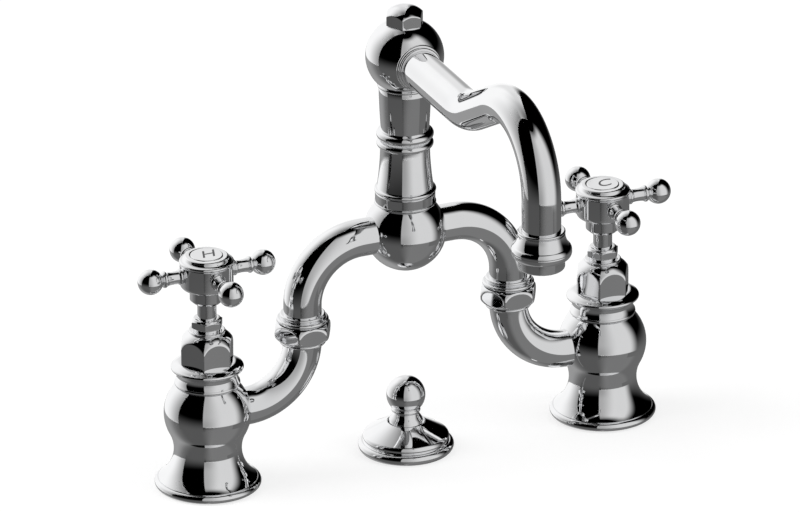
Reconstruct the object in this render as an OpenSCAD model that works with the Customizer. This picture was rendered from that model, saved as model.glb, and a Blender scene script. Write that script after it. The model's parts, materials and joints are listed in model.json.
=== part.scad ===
// Three-hole basin mixer: two pillar valves with cross handles, an S-bend bridge,
// a swivelling swan-neck spout, and a lift knob for the pop-up waste.
// Millimetres. The origin is on top of the deck, midway between the pillars.
// +X runs along the bridge to the cold side, -Y to the front of the basin, +Z up.

/* [Deck and inlets] */
// Distance between the axes of the two pillars
pillar_spacing = 203.2; // [190:0.1:230]
// Thickness of the deck that the nuts are drawn under
deck_t = 25; // [15:1:32]
// Radius over the thread of an inlet shank
shank_r = 10.48; // [9.5:0.01:11]
// Radius of the waterway in an inlet shank
shank_bore_r = 6.5; // [5:0.1:7.5]
// Length of an inlet shank below the top of the deck
shank_len = 60; // [56:1:90]
// Radius over the corners of a back nut
back_nut_r = 17.5; // [15:0.1:20]
// Height of a back nut
back_nut_h = 7; // [5:0.5:9]
// Thickness of the washer above a back nut
clamp_washer_t = 2.5; // [1.5:0.1:4]

/* [Pillars] */
// Radius of a pillar's base flange
base_r = 25.1; // [23.5:0.1:28]
// Height of the rolled rim round the base flange
base_rim_h = 4; // [3:0.1:5]
// Radius of the waist
waist_r = 16; // [15:0.1:17.5]
// Height of the waist above the deck
waist_z = 18.7; // [17:0.1:20]
// Radius of the belly at its widest
belly_r = 20.6; // [19.5:0.1:22]
// Radius of the neck under the top flange
neck_r = 14; // [13.5:0.1:15]
// Radius of the top flange
flange_r = 17.2; // [16.8:0.1:19]
// Height of a pillar, from the deck to the seat of its bonnet
pillar_h = 63.1; // [61:0.1:68]

/* [Bridge] */
// Radius of the bridge's pipes
pipe_r = 9; // [8:0.1:9.6]
// Radius of the waterway in the pipes
pipe_bore_r = 7; // [5.5:0.1:7.4]
// Height of a pipe's axis where it leaves a pillar
low_pipe_z = 36.5; // [35:0.1:39]
// Length from a pillar's axis to where its pipe starts to bend
pipe_run = 19.8; // [18:0.1:22]
// Radius of the pipe bends, at the pipe's centre line
bend_r = 29; // [26:0.1:31]
// Straight rise between the lower and the upper bend
riser = 17.5; // [17:0.1:24]
// Radius over the corners of a union nut
union_nut_r = 14.4; // [13.8:0.1:16]
// Radius of the ball that the two pipes meet in
ball_r = 19.4; // [18.6:0.1:21]

/* [Column and head] */
// Height of the collar's top above the ball's centre
collar_h = 20.3; // [19.5:0.1:24]
// Radius of the collar on top of the ball
collar_r = 14.2; // [13.9:0.1:15.2]
// Height of the column, from the collar to the swivel joint
column_h = 26.3; // [24:0.1:36]
// Radius of the column at its foot
column_foot_r = 13.3; // [12.6:0.1:13.6]
// Radius of the column below the swivel joint
column_top_r = 11.7; // [11.3:0.1:12.5]
// Radius of the two rings at the swivel joint
ring_r = 13.5; // [13:0.1:15]
// Radius of the head's neck
head_neck_r = 11.9; // [11.4:0.1:12.6]
// Height of the head's ball centre above the swivel joint
head_h = 41.8; // [39:0.1:48]
// Radius of the head's ball
head_r = 19.2; // [18.4:0.1:21]
// Radius over the corners of the hex cap
cap_r = 9.4; // [8:0.1:10]
// How far the spout turns to either side
swing = 60; // [20:1:80]

/* [Spout] */
// Reach from the column's axis to the outlet's axis
spout_reach = 156.2; // [140:1:190]
// Radius of the spout's tube
spout_r = 9.2; // [8.2:0.1:9.4]
// Wall thickness of the spout's tube
spout_wall = 1.5; // [1:0.1:2]
// Slope of the rising part of the spout, in degrees
rise_angle = 28.5; // [22:0.5:40]
// Length of the straight part of that rise
rise_len = 27.5; // [18:0.1:34]
// Radius of the bend that starts the rise
sweep_r = 36; // [28:0.1:45]
// Radius of the swan neck's crook
crook_r = 33.3; // [28:0.1:40]
// Height from the crook's centre down to the end of the aerator
drop = 34.1; // [31:0.1:60]
// Radius of the outlet's flare at its widest
bell_r = 14.2; // [13.4:0.1:16]
// Radius of the aerator's housing
aerator_r = 11; // [10.6:0.1:11.6]

/* [Valves and handles] */
// Radius of a valve spindle between the gland and the handle
spindle_r = 4.5; // [4.3:0.1:4.8]
// Radius over the corners of a bonnet
bonnet_r = 13.4; // [13:0.1:15]
// Height of a bonnet above the pillar
bonnet_h = 16.3; // [15.5:0.1:20]
// Radius over the corners of a gland nut
gland_r = 7.9; // [7.7:0.1:8.6]
// Height of a handle's lower edge above the pillar
handle_lift = 30.3; // [29:0.1:36]
// Radius of a handle's hub
hub_r = 12.6; // [12:0.1:14]
// Height of a handle's hub above its skirt
hub_h = 12.1; // [11.5:0.1:15]
// Distance from a handle's axis to the centre of a ball on its arms
arm_reach = 28.6; // [26:0.1:36]
// Radius of the balls on the arms
arm_ball_r = 6.05; // [5.5:0.05:7]
// How far a handle turns from shut to open
quarter_turn = 90; // [60:1:100]

/* [Waste knob] */
// Radius of the lift knob's ball
knob_r = 9.2; // [8:0.1:11]
// Height of the lift knob's ball above the rose
knob_rise = 15.4; // [14:0.1:18]
// Radius of the domed rose under the knob
rose_r = 22.6; // [20:0.1:26]
// Height of the rose
rose_h = 12; // [11.5:0.1:15]
// Radius of the lift rod
rod_r = 3; // [2.6:0.1:3.2]
// Length of the lift rod below the top of the deck
rod_len = 85; // [80:1:120]
// Radius over the thread of the rod's guide
guide_r = 7; // [6:0.1:8]

/* [Fits] */
// Radial clearance of screwed and brazed joints
fit = 0.05; // [0.02:0.01:0.1]
// Radial clearance of parts that turn or slide in one another
running = 0.06; // [0.03:0.01:0.1]
// Air gap between parts that pass without touching
gap = 0.3; // [0.2:0.05:0.5]

/* [Hidden] */
SIDE_PIECES = [
    "pillar", "shank", "deck_gasket", "clamp_washer", "back_nut", "lower_elbow", "union_nut",
    "union_washer", "upper_elbow", "seat_seal", "fixed_disc", "moving_disc", "cartridge_body",
    "spindle", "spindle_seals", "bonnet", "gland_nut", "handle_hub", "handle_arms",
    "handle_screw", "index_button"
];
CENTRE_PIECES = [
    "centre_body", "column", "swivel_spigot", "swivel_orings", "swivel_washer", "spout_head",
    "swivel_screw", "head_cap", "spout_tube", "outlet_bell", "aerator_housing", "aerator_insert",
    "aerator_washer", "lift_knob", "lift_rod", "lift_rose", "lift_guide", "lift_guide_nut"
];

CHROME = "lightgray";
BRASS = "goldenrod";
RUBBER = "dimgray";
CERAMIC = "white";
PLASTIC = "whitesmoke";
STEEL = "silver";

// Overshoot of a cut past the face that it opens
eps = 0.5;
// Edge break on ends, bores and nuts
chamfer = 0.5;
// Segments round a full turn
$fn = 72;

// Pillar: heights and depths
gasket_t = 1.5;
gasket_r = base_r - 2.7;
register_r = shank_r + 0.32;
register_len = 6;
shank_depth = 14;
seat_z = low_pipe_z - 9.5;
chamber_r = neck_r - 2.5;
socket_x = chamber_r + 3.5;
belly_z = low_pipe_z + 0.6;
neck_bead_z = pillar_h - 10.5;
neck_bead = 0.8;

// Bridge: places of the bends and of the union
half_span = pillar_spacing / 2;
union_x = pipe_run + bend_r;
union_z = low_pipe_z + bend_r + 4;
ball_z = low_pipe_z + 2 * bend_r + riser;
ball_socket = ball_r - 5.3;
union_washer_t = 1.5;
tail_r = pipe_r + 1.55;
tail_flange_r = tail_r - 0.15;
union_nut_low = union_z - 6.6;
union_nut_top = union_z + 4.2;

// Column and head: heights of the joints
column_z = ball_z + collar_h;
swivel_z = column_z + column_h;
swivel_washer_t = 0.8;
head_foot_z = swivel_z + swivel_washer_t;
head_z = swivel_z + head_h + 0.4;
column_thread_r = collar_r - 3.7;
column_thread_len = 8;
spigot_thread_r = column_top_r - 2.3;
journal_r = spigot_thread_r - 1;
journal_len = 26;
spigot_bore_r = journal_r - 2.9;
oring_wire = 1.5;
oring_zs = [5, 18];
stop_z = 12;
stop_h = 2.4;
stop_depth = 1.2;
pin_r = 1;
cap_seat = head_r - 2.8;
cap_h = 9;
cap_thread_r = 6;

// Spout: the straight run takes up what the bends leave of the reach
crook_turn = 90 + rise_angle;
bends_len = sweep_r * sin(rise_angle) + rise_len * cos(rise_angle) + crook_r * (1 + sin(rise_angle));
spout_run = spout_reach - bends_len;
crook_z = head_z + sweep_r * (1 - cos(rise_angle)) + rise_len * sin(rise_angle)
    - crook_r * cos(rise_angle);
outlet_z = crook_z - drop;
spout_socket = 12;
spout_bore_r = spout_r - spout_wall;
bell_h = 16;
bell_low = 3.8;
bell_neck = bell_h + bell_low;
aerator_thread_r = aerator_r - 0.75;
aerator_thread_len = 7.2;
tube_end_z = outlet_z + bell_low + aerator_thread_len + 2;
SWEEP_STEPS = 6;
CROOK_STEPS = 20;
TUBE_SIDES = 24;

// Valve: the stack inside a pillar, from the seat up
seal_t = 2;
fixed_disc_t = 3;
moving_disc_t = 3.4;
disc_r = chamber_r - 3.3;
cartridge_r = chamber_r - 1.5;
cartridge_bore_r = disc_r + 0.2;
cartridge_h = 20;
cartridge_flange = 3;
disc_z = seat_z + seal_t + fixed_disc_t;
port_r = 2.6;
port_offset = disc_r - port_r - 0.6;
key_w = 3;
dog_w = 3.2;
dog_h = 1.8;
journal2_r = spindle_r + 1.5;
cartridge_top = seat_z + cartridge_h;
shoulder_z = cartridge_top + 9;
stop_lug_r = journal2_r + 2.4;
stop_lug_h = 3;
stop_lug_w = 4;
seal_groove_z = cartridge_top - 4.5;
seal_wire = 1.1;
gland_pocket_r = spindle_r + 1.7;
gland_depth = 5.5;
packing_t = 2.2;
bonnet_top = pillar_h + bonnet_h;
gland_gap = 1.3;
gland_h = 4.7;

// Handle: heights above the pillar's foot
handle_z = pillar_h + handle_lift;
skirt_h = 7.5;
skirt_r = hub_r - 4.6;
hub_z = handle_z + skirt_h;
hub_top = hub_z + hub_h;
arm_z = hub_z + hub_h * 0.62;
spline_r = spindle_r - 0.2;
spline_teeth = 20;
spline_depth = 0.5;
spline_z = handle_z + 1.5;
spindle_top = hub_z + 5;
web_z = spindle_top + gap;
screw_seat_z = web_z + 2.5;
screw_r = 2;
screw_hole = 12;
screw_len = 10;
screw_head_r = 3.6;
screw_head_h = 2.4;
counterbore_r = 5;
button_r = hub_r - 4.9;
button_seat_z = hub_top + 2.4;
button_t = 2;
arm_root_r = 3.6;
arm_r = 3.2;
arm_spigot_r = 2.4;
arm_spigot_len = 4;

// Waste knob
rose_t = 1.6;
rose_rim = 4.4;
guide_flange_r = 13;
guide_flange_t = 2;
guide_boss_z = rose_h - 2.5;
guide_len = deck_t + 16;
guide_nut_h = 6;
guide_nut_flange_t = 1.5;
knob_foot_z = rose_h + 0.4;
knob_z = rose_h + knob_rise;
rod_thread_r = rod_r - 0.9;
rod_end_r = rod_r - 0.5;
rod_end_len = 22;

// Points of a circle's arc about c, from angle a to angle b
function arc(c, r, a, b, n = 10) =
    [for (i = [0:n]) let (t = a + (b - a) * i / n) c + r * [cos(t), sin(t)]];

// Points of a curve that bows out by sag, to the right of the way from p to q
function bow(p, q, sag, n = 8) =
    let (
        chord = norm(q - p),
        along = (q - p) / chord,
        outward = (sag > 0 ? 1 : -1) * [along[1], -along[0]],
        r = (chord * chord / 4 + sag * sag) / (2 * abs(sag)),
        half = 2 * atan2(2 * abs(sag), chord),
        centre = (p + q) / 2 - outward * (r - abs(sag))
    )
    [for (i = [0:n]) let (t = half * (2 * i / n - 1)) centre + r * (cos(t) * outward + sin(t) * along)];

// Points of a half-round bead of radius m whose crown is at radius r and height z
function bead(r, z, m, n = 8) = arc([r - m, z], m, -90, 90, n);

// Points of a curve that swells from radius a to radius b between two heights
function swell(a, low, b, high, n = 10) =
    [for (i = [0:n]) [a + (b - a) * (1 - cos(180 * i / n)) / 2, low + (high - low) * i / n]];

// Points of a shoulder: from its widest, radius a at height low, it curves in to radius b at height high
function shoulder(a, low, b, high, turn = 37, n = 8) =
    [for (i = [1:n]) let (t = turn * i / n)
        [a - (a - b) * (1 - cos(t)) / (1 - cos(turn)), low + (high - low) * sin(t) / sin(turn)]];

// A turned solid from the points of its outer edge, bottom to top
module turned(points) {
    rotate_extrude() polygon(concat([[0, points[0][1]]], points, [[0, points[len(points) - 1][1]]]));
}

// A flat ring or a tube
module ring(inner, outer, h) {
    difference() {
        cylinder(r = outer, h = h);
        translate([0, 0, -eps]) cylinder(r = inner, h = h + 2 * eps);
    }
}

// A hexagonal bar with corners on the X axis, its ends rounded down to radius r by the drop given
module hex(corner_r, h, low_drop, high_drop) {
    flat_r = corner_r * cos(30);
    intersection() {
        cylinder(r = corner_r, h = h, $fn = 6);
        turned([
            [flat_r - 0.6, 0], [flat_r, 0], [corner_r + 0.01, max(low_drop, 0.01)],
            [corner_r + 0.01, h - max(high_drop, 0.01)], [flat_r, h], [flat_r - 0.6, h]
        ]);
    }
}

// A round bar that follows its steps along +X in the XY plane: straight length, turn, bend radius
module bar(steps, r, i = 0) {
    if (i < len(steps)) {
        run = steps[i][0];
        turn = steps[i][1];
        bend = steps[i][2];
        side = turn < 0 ? -1 : 1;
        rotate([0, 90, 0]) cylinder(r = r, h = run);
        translate([run, 0, 0]) {
            if (turn != 0)
                translate([0, side * bend, 0])
                    rotate([0, 0, turn > 0 ? -90 : 90 + turn])
                        rotate_extrude(angle = abs(turn)) translate([bend, 0]) circle(r = r);
            translate([bend * sin(abs(turn)), side * bend * (1 - cos(turn)), 0])
                rotate([0, 0, turn]) bar(steps, r, i + 1);
        }
    }
}

// The same steps with both ends made longer
function stretched(steps, extra) =
    [for (i = [0:len(steps) - 1])
        [steps[i][0] + (i == 0 ? extra : 0) + (i == len(steps) - 1 ? extra : 0), steps[i][1], steps[i][2]]];

// A wedge of the given half angle about +X, from the axis out
module wedge(half, r, h) {
    reach = r / cos(half / 2);
    linear_extrude(h) polygon([
        [0, 0], reach * [cos(half), -sin(half)], reach * [cos(half / 2), -sin(half / 2)],
        [reach, 0], reach * [cos(half / 2), sin(half / 2)], reach * [cos(half), sin(half)]
    ]);
}

// Outline of a splined shaft
function spline(tip, teeth, depth) =
    [for (i = [0:2 * teeth - 1]) (tip - (i % 2) * depth) * [cos(180 * i / teeth), sin(180 * i / teeth)]];

// Each side is drawn with its pillar's axis at the origin and the bridge towards +X
module on_side(side) {
    if (side == "hot") translate([-half_span, 0, 0]) children();
    else translate([half_span, 0, 0]) mirror([1, 0, 0]) children();
}

// Cast pillar: base bell, belly and neck, bored for the shank, the valve and the pipe
module pillar() {
    cove_start = [base_r - 1.8, base_rim_h + 0.3];
    cove_in = cove_start[0] - waist_r;
    cove_up = waist_z - cove_start[1];
    cove_r = (cove_in * cove_in + cove_up * cove_up) / (2 * cove_in);
    cove_c = [waist_r + cove_r, waist_z];
    swell_in = cove_c[0] - belly_r;
    swell_up = belly_z - waist_z;
    belly_arc_r = (swell_in * swell_in + swell_up * swell_up - cove_r * cove_r) / (2 * (cove_r - swell_in));
    belly_c = [belly_r - belly_arc_r, belly_z];
    meet = atan2(swell_up, belly_c[0] - cove_c[0]);
    belly_top = neck_bead_z - neck_bead - 0.2;
    shoulder_r = neck_r + 1.2;
    bead_r = neck_r + 1.4;
    color(CHROME) difference() {
        turned(concat(
            bead(base_r, base_rim_h / 2, base_rim_h / 2),
            arc(cove_c, cove_r, 180 + atan2(cove_up, cove_c[0] - cove_start[0]), meet, 14),
            arc(belly_c, belly_arc_r, meet - 180, 0, 10),
            shoulder(belly_r, belly_z, shoulder_r, belly_top),
            bead(bead_r, neck_bead_z, neck_bead, 6),
            bow([bead_r - neck_bead, neck_bead_z + neck_bead], [flange_r - 0.9, pillar_h - 3.8], -1.1),
            bow([flange_r - 0.7, pillar_h - 3.6], [flange_r - 0.7, pillar_h - 1.7], 0.7),
            bow([flange_r - 0.9, pillar_h - 1.6], [bonnet_r - 0.4, pillar_h], 0.2, 4)
        ));
        translate([0, 0, -eps]) cylinder(r = gasket_r + gap, h = gasket_t + eps);
        translate([0, 0, -eps]) cylinder(r = shank_r + fit, h = shank_depth + eps);
        cylinder(r = shank_bore_r, h = seat_z + eps);
        translate([0, 0, seat_z]) cylinder(r = chamber_r, h = pillar_h);
        translate([0, 0, low_pipe_z]) rotate([0, 90, 0]) {
            cylinder(r = pipe_bore_r, h = base_r);
            translate([0, 0, socket_x]) cylinder(r = pipe_r + fit, h = base_r);
        }
    }
}

// Threaded inlet shank: a plain register in the deck's hole, a thread for the back nut and a tail
module shank() {
    relief_z = -(deck_t + clamp_washer_t + back_nut_h + 4);
    color(BRASS) difference() {
        union() {
            translate([0, 0, -shank_len + chamfer])
                cylinder(r = shank_r, h = shank_len + shank_depth - chamfer);
            translate([0, 0, -shank_len]) cylinder(r1 = shank_r - chamfer, r2 = shank_r, h = chamfer);
            translate([0, 0, -register_len]) cylinder(r = register_r, h = register_len + gasket_t);
        }
        translate([0, 0, -shank_len - eps]) cylinder(r = shank_bore_r, h = shank_len + shank_depth + 2 * eps);
        translate([0, 0, relief_z]) ring(shank_r - 0.9, shank_r + eps, 2);
    }
}

// Rubber gasket in the recess under the base flange
module deck_gasket() {
    color(RUBBER) ring(register_r + 1.7, gasket_r, gasket_t);
}

// Fibre washer drawn up under the deck
module clamp_washer() {
    color(PLASTIC) translate([0, 0, -deck_t - clamp_washer_t])
        ring(shank_r + gap, back_nut_r + 1.5, clamp_washer_t);
}

// Hexagonal back nut under the washer
module back_nut() {
    color(BRASS) translate([0, 0, -deck_t - clamp_washer_t - back_nut_h]) difference() {
        hex(back_nut_r, back_nut_h, 1, 1);
        translate([0, 0, -eps]) cylinder(r = shank_r + fit, h = back_nut_h + 2 * eps);
    }
}

// Lower elbow: from the socket in the pillar up to its flange inside the union nut
module lower_elbow() {
    top_z = union_z - union_washer_t / 2;
    steps = [[pipe_run - socket_x, 90, bend_r], [top_z - low_pipe_z - bend_r, 0, 0]];
    color(CHROME) difference() {
        union() {
            translate([socket_x, 0, low_pipe_z]) rotate([90, 0, 0]) bar(steps, pipe_r);
            translate([union_x, 0, top_z - 2.2]) cylinder(r = tail_flange_r, h = 2.2);
        }
        translate([socket_x - eps, 0, low_pipe_z]) rotate([90, 0, 0]) bar(stretched(steps, eps), pipe_bore_r);
    }
}

// Union nut: round-cornered hexagon that draws the two elbows together
module union_nut() {
    ring_h = 1.6;
    hex_h = union_nut_top - union_nut_low - ring_h;
    lip_z = union_z - union_washer_t / 2 - 2.2;
    flat_r = union_nut_r * cos(30);
    color(CHROME) translate([union_x, 0, 0]) difference() {
        union() {
            translate([0, 0, union_nut_low]) turned(bead(pipe_r + 1.9, ring_h / 2, ring_h / 2, 6));
            translate([0, 0, union_nut_low + ring_h]) intersection() {
                cylinder(r = union_nut_r, h = hex_h, $fn = 6);
                turned(concat(
                    bow([flat_r - 1.4, 0], [union_nut_r, hex_h / 2 - 0.6], 0.5, 6),
                    bow([union_nut_r, hex_h / 2 + 0.6], [flat_r - 0.4, hex_h], 0.5, 6)
                ));
            }
        }
        translate([0, 0, union_nut_low - eps]) cylinder(r = pipe_r + 0.5, h = union_nut_top);
        translate([0, 0, lip_z]) cylinder(r = tail_r + fit, h = union_nut_top);
    }
}

// Fibre washer between the faces of the two elbows
module union_washer() {
    color(PLASTIC) translate([union_x, 0, union_z - union_washer_t / 2])
        ring(pipe_bore_r + 0.3, tail_flange_r, union_washer_t);
}

// Upper elbow: threaded tail and double collar at the union, then over into the ball
module upper_elbow() {
    foot_z = union_z + union_washer_t / 2;
    steps = [
        [ball_z - bend_r - foot_z, -90, bend_r],
        [half_span - union_x - bend_r - ball_socket, 0, 0]
    ];
    collar_z = union_nut_top + gap;
    color(CHROME) translate([union_x, 0, 0]) difference() {
        union() {
            translate([0, 0, foot_z]) rotate([90, -90, 0]) bar(steps, pipe_r);
            translate([0, 0, foot_z]) cylinder(r = tail_r, h = collar_z - foot_z + 1);
            translate([0, 0, collar_z]) turned(concat(
                bead(pipe_r + 3.3, 1, 1, 6),
                [[pipe_r + 1.2, 2.3]],
                bead(pipe_r + 1.8, 3.2, 0.8, 6)
            ));
        }
        translate([0, 0, foot_z - eps]) rotate([90, -90, 0]) bar(stretched(steps, eps), pipe_bore_r);
    }
}

// Rubber seal between the pillar's seat and the fixed disc
module seat_seal() {
    color(RUBBER) translate([0, 0, seat_z]) ring(shank_bore_r, disc_r, seal_t);
}

// Fixed ceramic disc: two ports and two keys that stop it turning
module fixed_disc() {
    color(CERAMIC) translate([0, 0, seat_z + seal_t]) difference() {
        union() {
            cylinder(r = disc_r, h = fixed_disc_t);
            for (side = [-1, 1])
                translate([side * disc_r - 1.1, -key_w / 2, 0]) cube([2.2, key_w, fixed_disc_t]);
        }
        for (side = [-1, 1])
            translate([0, side * port_offset, -eps]) cylinder(r = port_r, h = fixed_disc_t + 2 * eps);
    }
}

// Moving ceramic disc: side ports that uncover the fixed ones, and a slot for the spindle's dog
module moving_disc() {
    color(CERAMIC) translate([0, 0, disc_z]) difference() {
        cylinder(r = disc_r, h = moving_disc_t);
        for (side = [-1, 1])
            translate([side * (port_offset + 0.6), 0, -eps])
                cylinder(r = port_r + 0.2, h = moving_disc_t + 2 * eps);
        translate([-dog_w / 2 - fit, -disc_r, moving_disc_t - dog_h - fit])
            cube([dog_w + 2 * fit, 2 * disc_r, dog_h + eps]);
    }
}

// Brass cartridge body: holds the discs, lets the water out at its windows and guides the spindle
module cartridge_body() {
    neck_z = cartridge_h - 7;
    window_z = disc_z - seat_z + 0.5;
    window_w = disc_r;
    color(BRASS) translate([0, 0, seat_z]) difference() {
        union() {
            cylinder(r = cartridge_r, h = cartridge_h);
            translate([0, 0, cartridge_h - cartridge_flange])
                cylinder(r = chamber_r - 2 * fit, h = cartridge_flange);
        }
        translate([0, 0, -eps]) cylinder(r = cartridge_bore_r, h = neck_z + eps);
        cylinder(r = journal2_r + running, h = cartridge_h + eps);
        translate([-cartridge_r - eps, -window_w / 2, window_z])
            cube([2 * cartridge_r + 2 * eps, window_w, neck_z - window_z]);
        for (side = [-1, 1])
            translate([side * cartridge_r - 1.8, -key_w / 2 - fit, -eps])
                cube([3.6, key_w + 2 * fit, seal_t + fixed_disc_t + eps]);
    }
}

// Spindle: dog, sealed journal with its stop lug, stem and splined end
module spindle() {
    color(BRASS) difference() {
        union() {
            translate([-dog_w / 2, 1.2 - disc_r, disc_z + moving_disc_t - dog_h])
                cube([dog_w, 2 * disc_r - 2.4, dog_h + 0.5]);
            translate([0, 0, disc_z + moving_disc_t])
                cylinder(r = journal2_r, h = shoulder_z - disc_z - moving_disc_t);
            translate([0, -stop_lug_w / 2, cartridge_top + gap]) intersection() {
                cube([stop_lug_r, stop_lug_w, stop_lug_h]);
                translate([0, stop_lug_w / 2, 0]) cylinder(r = stop_lug_r, h = stop_lug_h);
            }
            translate([0, 0, shoulder_z]) cylinder(r = spindle_r, h = spline_z - shoulder_z);
            translate([0, 0, spline_z])
                linear_extrude(spindle_top - spline_z) polygon(spline(spline_r, spline_teeth, spline_depth));
        }
        translate([0, 0, seal_groove_z]) ring(journal2_r - seal_wire, journal2_r + eps, seal_wire + 0.5);
        translate([0, 0, web_z - screw_hole]) cylinder(r = screw_r + fit, h = screw_hole + eps);
    }
}

// The spindle's ring seal in the cartridge and the packing under the gland nut
module spindle_seals() {
    wire_r = seal_wire / 2 - running / 4;
    color(RUBBER) {
        translate([0, 0, seal_groove_z + seal_wire / 2 + 0.25])
            rotate_extrude()
                translate([journal2_r - seal_wire / 2 + running / 4, 0]) circle(r = wire_r, $fn = 24);
        translate([0, 0, bonnet_top - gland_depth]) ring(spindle_r + running, gland_pocket_r, packing_t);
    }
}

// Bonnet: screws into the pillar, holds the cartridge down and carries the stop and the gland
module bonnet() {
    dome_z = pillar_h + bonnet_h - 1.2;
    flat_r = bonnet_r * cos(30);
    pocket_half = quarter_turn / 2 + asin(stop_lug_w / 2 / journal2_r) + 2;
    color(CHROME) difference() {
        union() {
            translate([0, 0, cartridge_top]) cylinder(r = chamber_r - fit, h = pillar_h - cartridge_top + 1);
            translate([0, 0, pillar_h]) intersection() {
                cylinder(r = bonnet_r, h = bonnet_h, $fn = 6);
                turned(concat(
                    [[flat_r, 0], [bonnet_r, 1]],
                    bow([bonnet_r, bonnet_h - 11.1], [gland_pocket_r + 2.3, bonnet_h - 1.2], 1.75, 10),
                    bead(gland_pocket_r + 2.5, bonnet_h - 0.6, 0.6, 6)
                ));
            }
        }
        translate([0, 0, cartridge_top - eps])
            cylinder(r = journal2_r + gap, h = shoulder_z + gap - cartridge_top + eps);
        cylinder(r = spindle_r + running, h = dome_z + eps);
        translate([0, 0, bonnet_top - gland_depth]) cylinder(r = gland_pocket_r + fit, h = gland_depth + eps);
        translate([0, 0, cartridge_top - eps]) intersection() {
            cylinder(r = stop_lug_r + gap, h = stop_lug_h + 2 * gap + eps);
            rotate([0, 0, quarter_turn / 2]) wedge(pocket_half, stop_lug_r + 1, stop_lug_h + 2 * gap + eps);
        }
    }
}

// Gland nut: presses the packing round the spindle
module gland_nut() {
    tail_z = bonnet_top - gland_depth + packing_t;
    nut_z = bonnet_top + gland_gap;
    flat_r = gland_r * cos(30);
    color(CHROME) difference() {
        union() {
            translate([0, 0, tail_z]) cylinder(r = gland_pocket_r, h = nut_z - tail_z + 1);
            translate([0, 0, nut_z]) hex(gland_r, gland_h - 1, 0.5, 0.5);
            translate([0, 0, nut_z + gland_h - 1.1]) cylinder(r1 = flat_r - 0.1, r2 = flat_r - 0.8, h = 1.1);
        }
        translate([0, 0, tail_z - eps]) cylinder(r = spindle_r + running, h = gland_depth + gland_h + 2);
    }
}

// Handle hub: turned drum on a skirt, broached for the spindle and recessed for its screw and button
module handle_hub() {
    color(CHROME) difference() {
        turned(concat(
            [[skirt_r - 1.6, handle_z], [skirt_r, handle_z + 1.5], [skirt_r, hub_z]],
            bow([hub_r - 2.6, hub_z], [hub_r, hub_z + 2.4], 0.8, 5),
            [[hub_r, hub_top - 0.2], [hub_r - 0.4, hub_top]],
            bead(hub_r + 0.3, hub_top + 1, 0.9, 6),
            [[hub_r - 0.9, hub_top + 2]],
            bow([hub_r - 1.1, hub_top + 2.1], [button_r + 0.6, hub_top + 4.3], 0.6, 5),
            [[button_r + gap / 2, hub_top + 4.1]]
        ));
        translate([0, 0, handle_z - eps]) cylinder(r = spindle_r + fit, h = spline_z - handle_z + eps);
        translate([0, 0, spline_z - eps]) linear_extrude(web_z - spline_z + eps)
            polygon(spline(spline_r + 2 * fit, spline_teeth, spline_depth));
        cylinder(r = screw_r + 0.2, h = screw_seat_z + eps);
        translate([0, 0, screw_seat_z]) cylinder(r = counterbore_r, h = hub_h);
        translate([0, 0, button_seat_z]) cylinder(r = button_r + gap / 2, h = hub_h);
        for (turn = [0:90:270]) translate([0, 0, arm_z]) rotate([0, 90, turn])
            translate([0, 0, hub_r - arm_spigot_len]) cylinder(r = arm_spigot_r + fit, h = hub_r);
    }
}

// Four turned arms, each with a ball on its end and a spigot in the hub
module handle_arms() {
    ring_x = arm_reach - arm_ball_r - 0.9;
    color(CHROME) for (turn = [0:90:270]) translate([0, 0, arm_z]) rotate([0, 90, turn]) {
        translate([0, 0, hub_r - arm_spigot_len + gap]) cylinder(r = arm_spigot_r, h = arm_spigot_len + 1);
        difference() {
            union() {
                turned(concat(
                    [[arm_root_r - 0.6, hub_r - 1.2]],
                    bow([arm_root_r - 0.2, hub_r + 0.3], [arm_root_r - 0.2, hub_r + 1.9], 0.5, 5),
                    [[arm_r - 0.1, hub_r + 2.2]],
                    bow([arm_r, hub_r + 2.4], [arm_r + 0.1, ring_x - 1.5], -0.2, 6),
                    bead(arm_r + 0.8, ring_x, 1.1, 6),
                    bow([arm_r - 0.5, ring_x + 1.2], [arm_r - 0.1, arm_reach - arm_ball_r + 1.6], -0.3, 4),
                    [[arm_r, arm_reach]]
                ));
                translate([0, 0, arm_reach]) sphere(r = arm_ball_r);
            }
            rotate([0, 90, 0]) translate([0, 0, -hub_h]) cylinder(r = hub_r + fit, h = 2 * hub_h);
        }
    }
}

// Pan-head screw that holds the handle on its spindle
module handle_screw() {
    color(STEEL) difference() {
        union() {
            translate([0, 0, web_z - screw_len])
                cylinder(r = screw_r, h = screw_seat_z - web_z + screw_len + eps);
            translate([0, 0, screw_seat_z])
                turned(concat([[screw_head_r, 0]], bow([screw_head_r, 1.2], [1.5, screw_head_h], 0.4, 5)));
        }
        for (turn = [0, 90]) translate([0, 0, screw_seat_z + screw_head_h]) rotate([0, 0, turn])
            cube([4, 0.9, 2.4], center = true);
    }
}

// Index button pressed into the top of the hub
module index_button() {
    color(CHROME) union() {
        translate([0, 0, screw_seat_z + screw_head_h + gap])
            cylinder(r = counterbore_r - fit, h = button_seat_z - screw_seat_z - screw_head_h);
        translate([0, 0, button_seat_z])
            turned(concat(
                [[button_r, 0]],
                bow([button_r, button_t - 0.5], [button_r - 0.6, button_t], 0.2, 4)
            ));
    }
}

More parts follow.
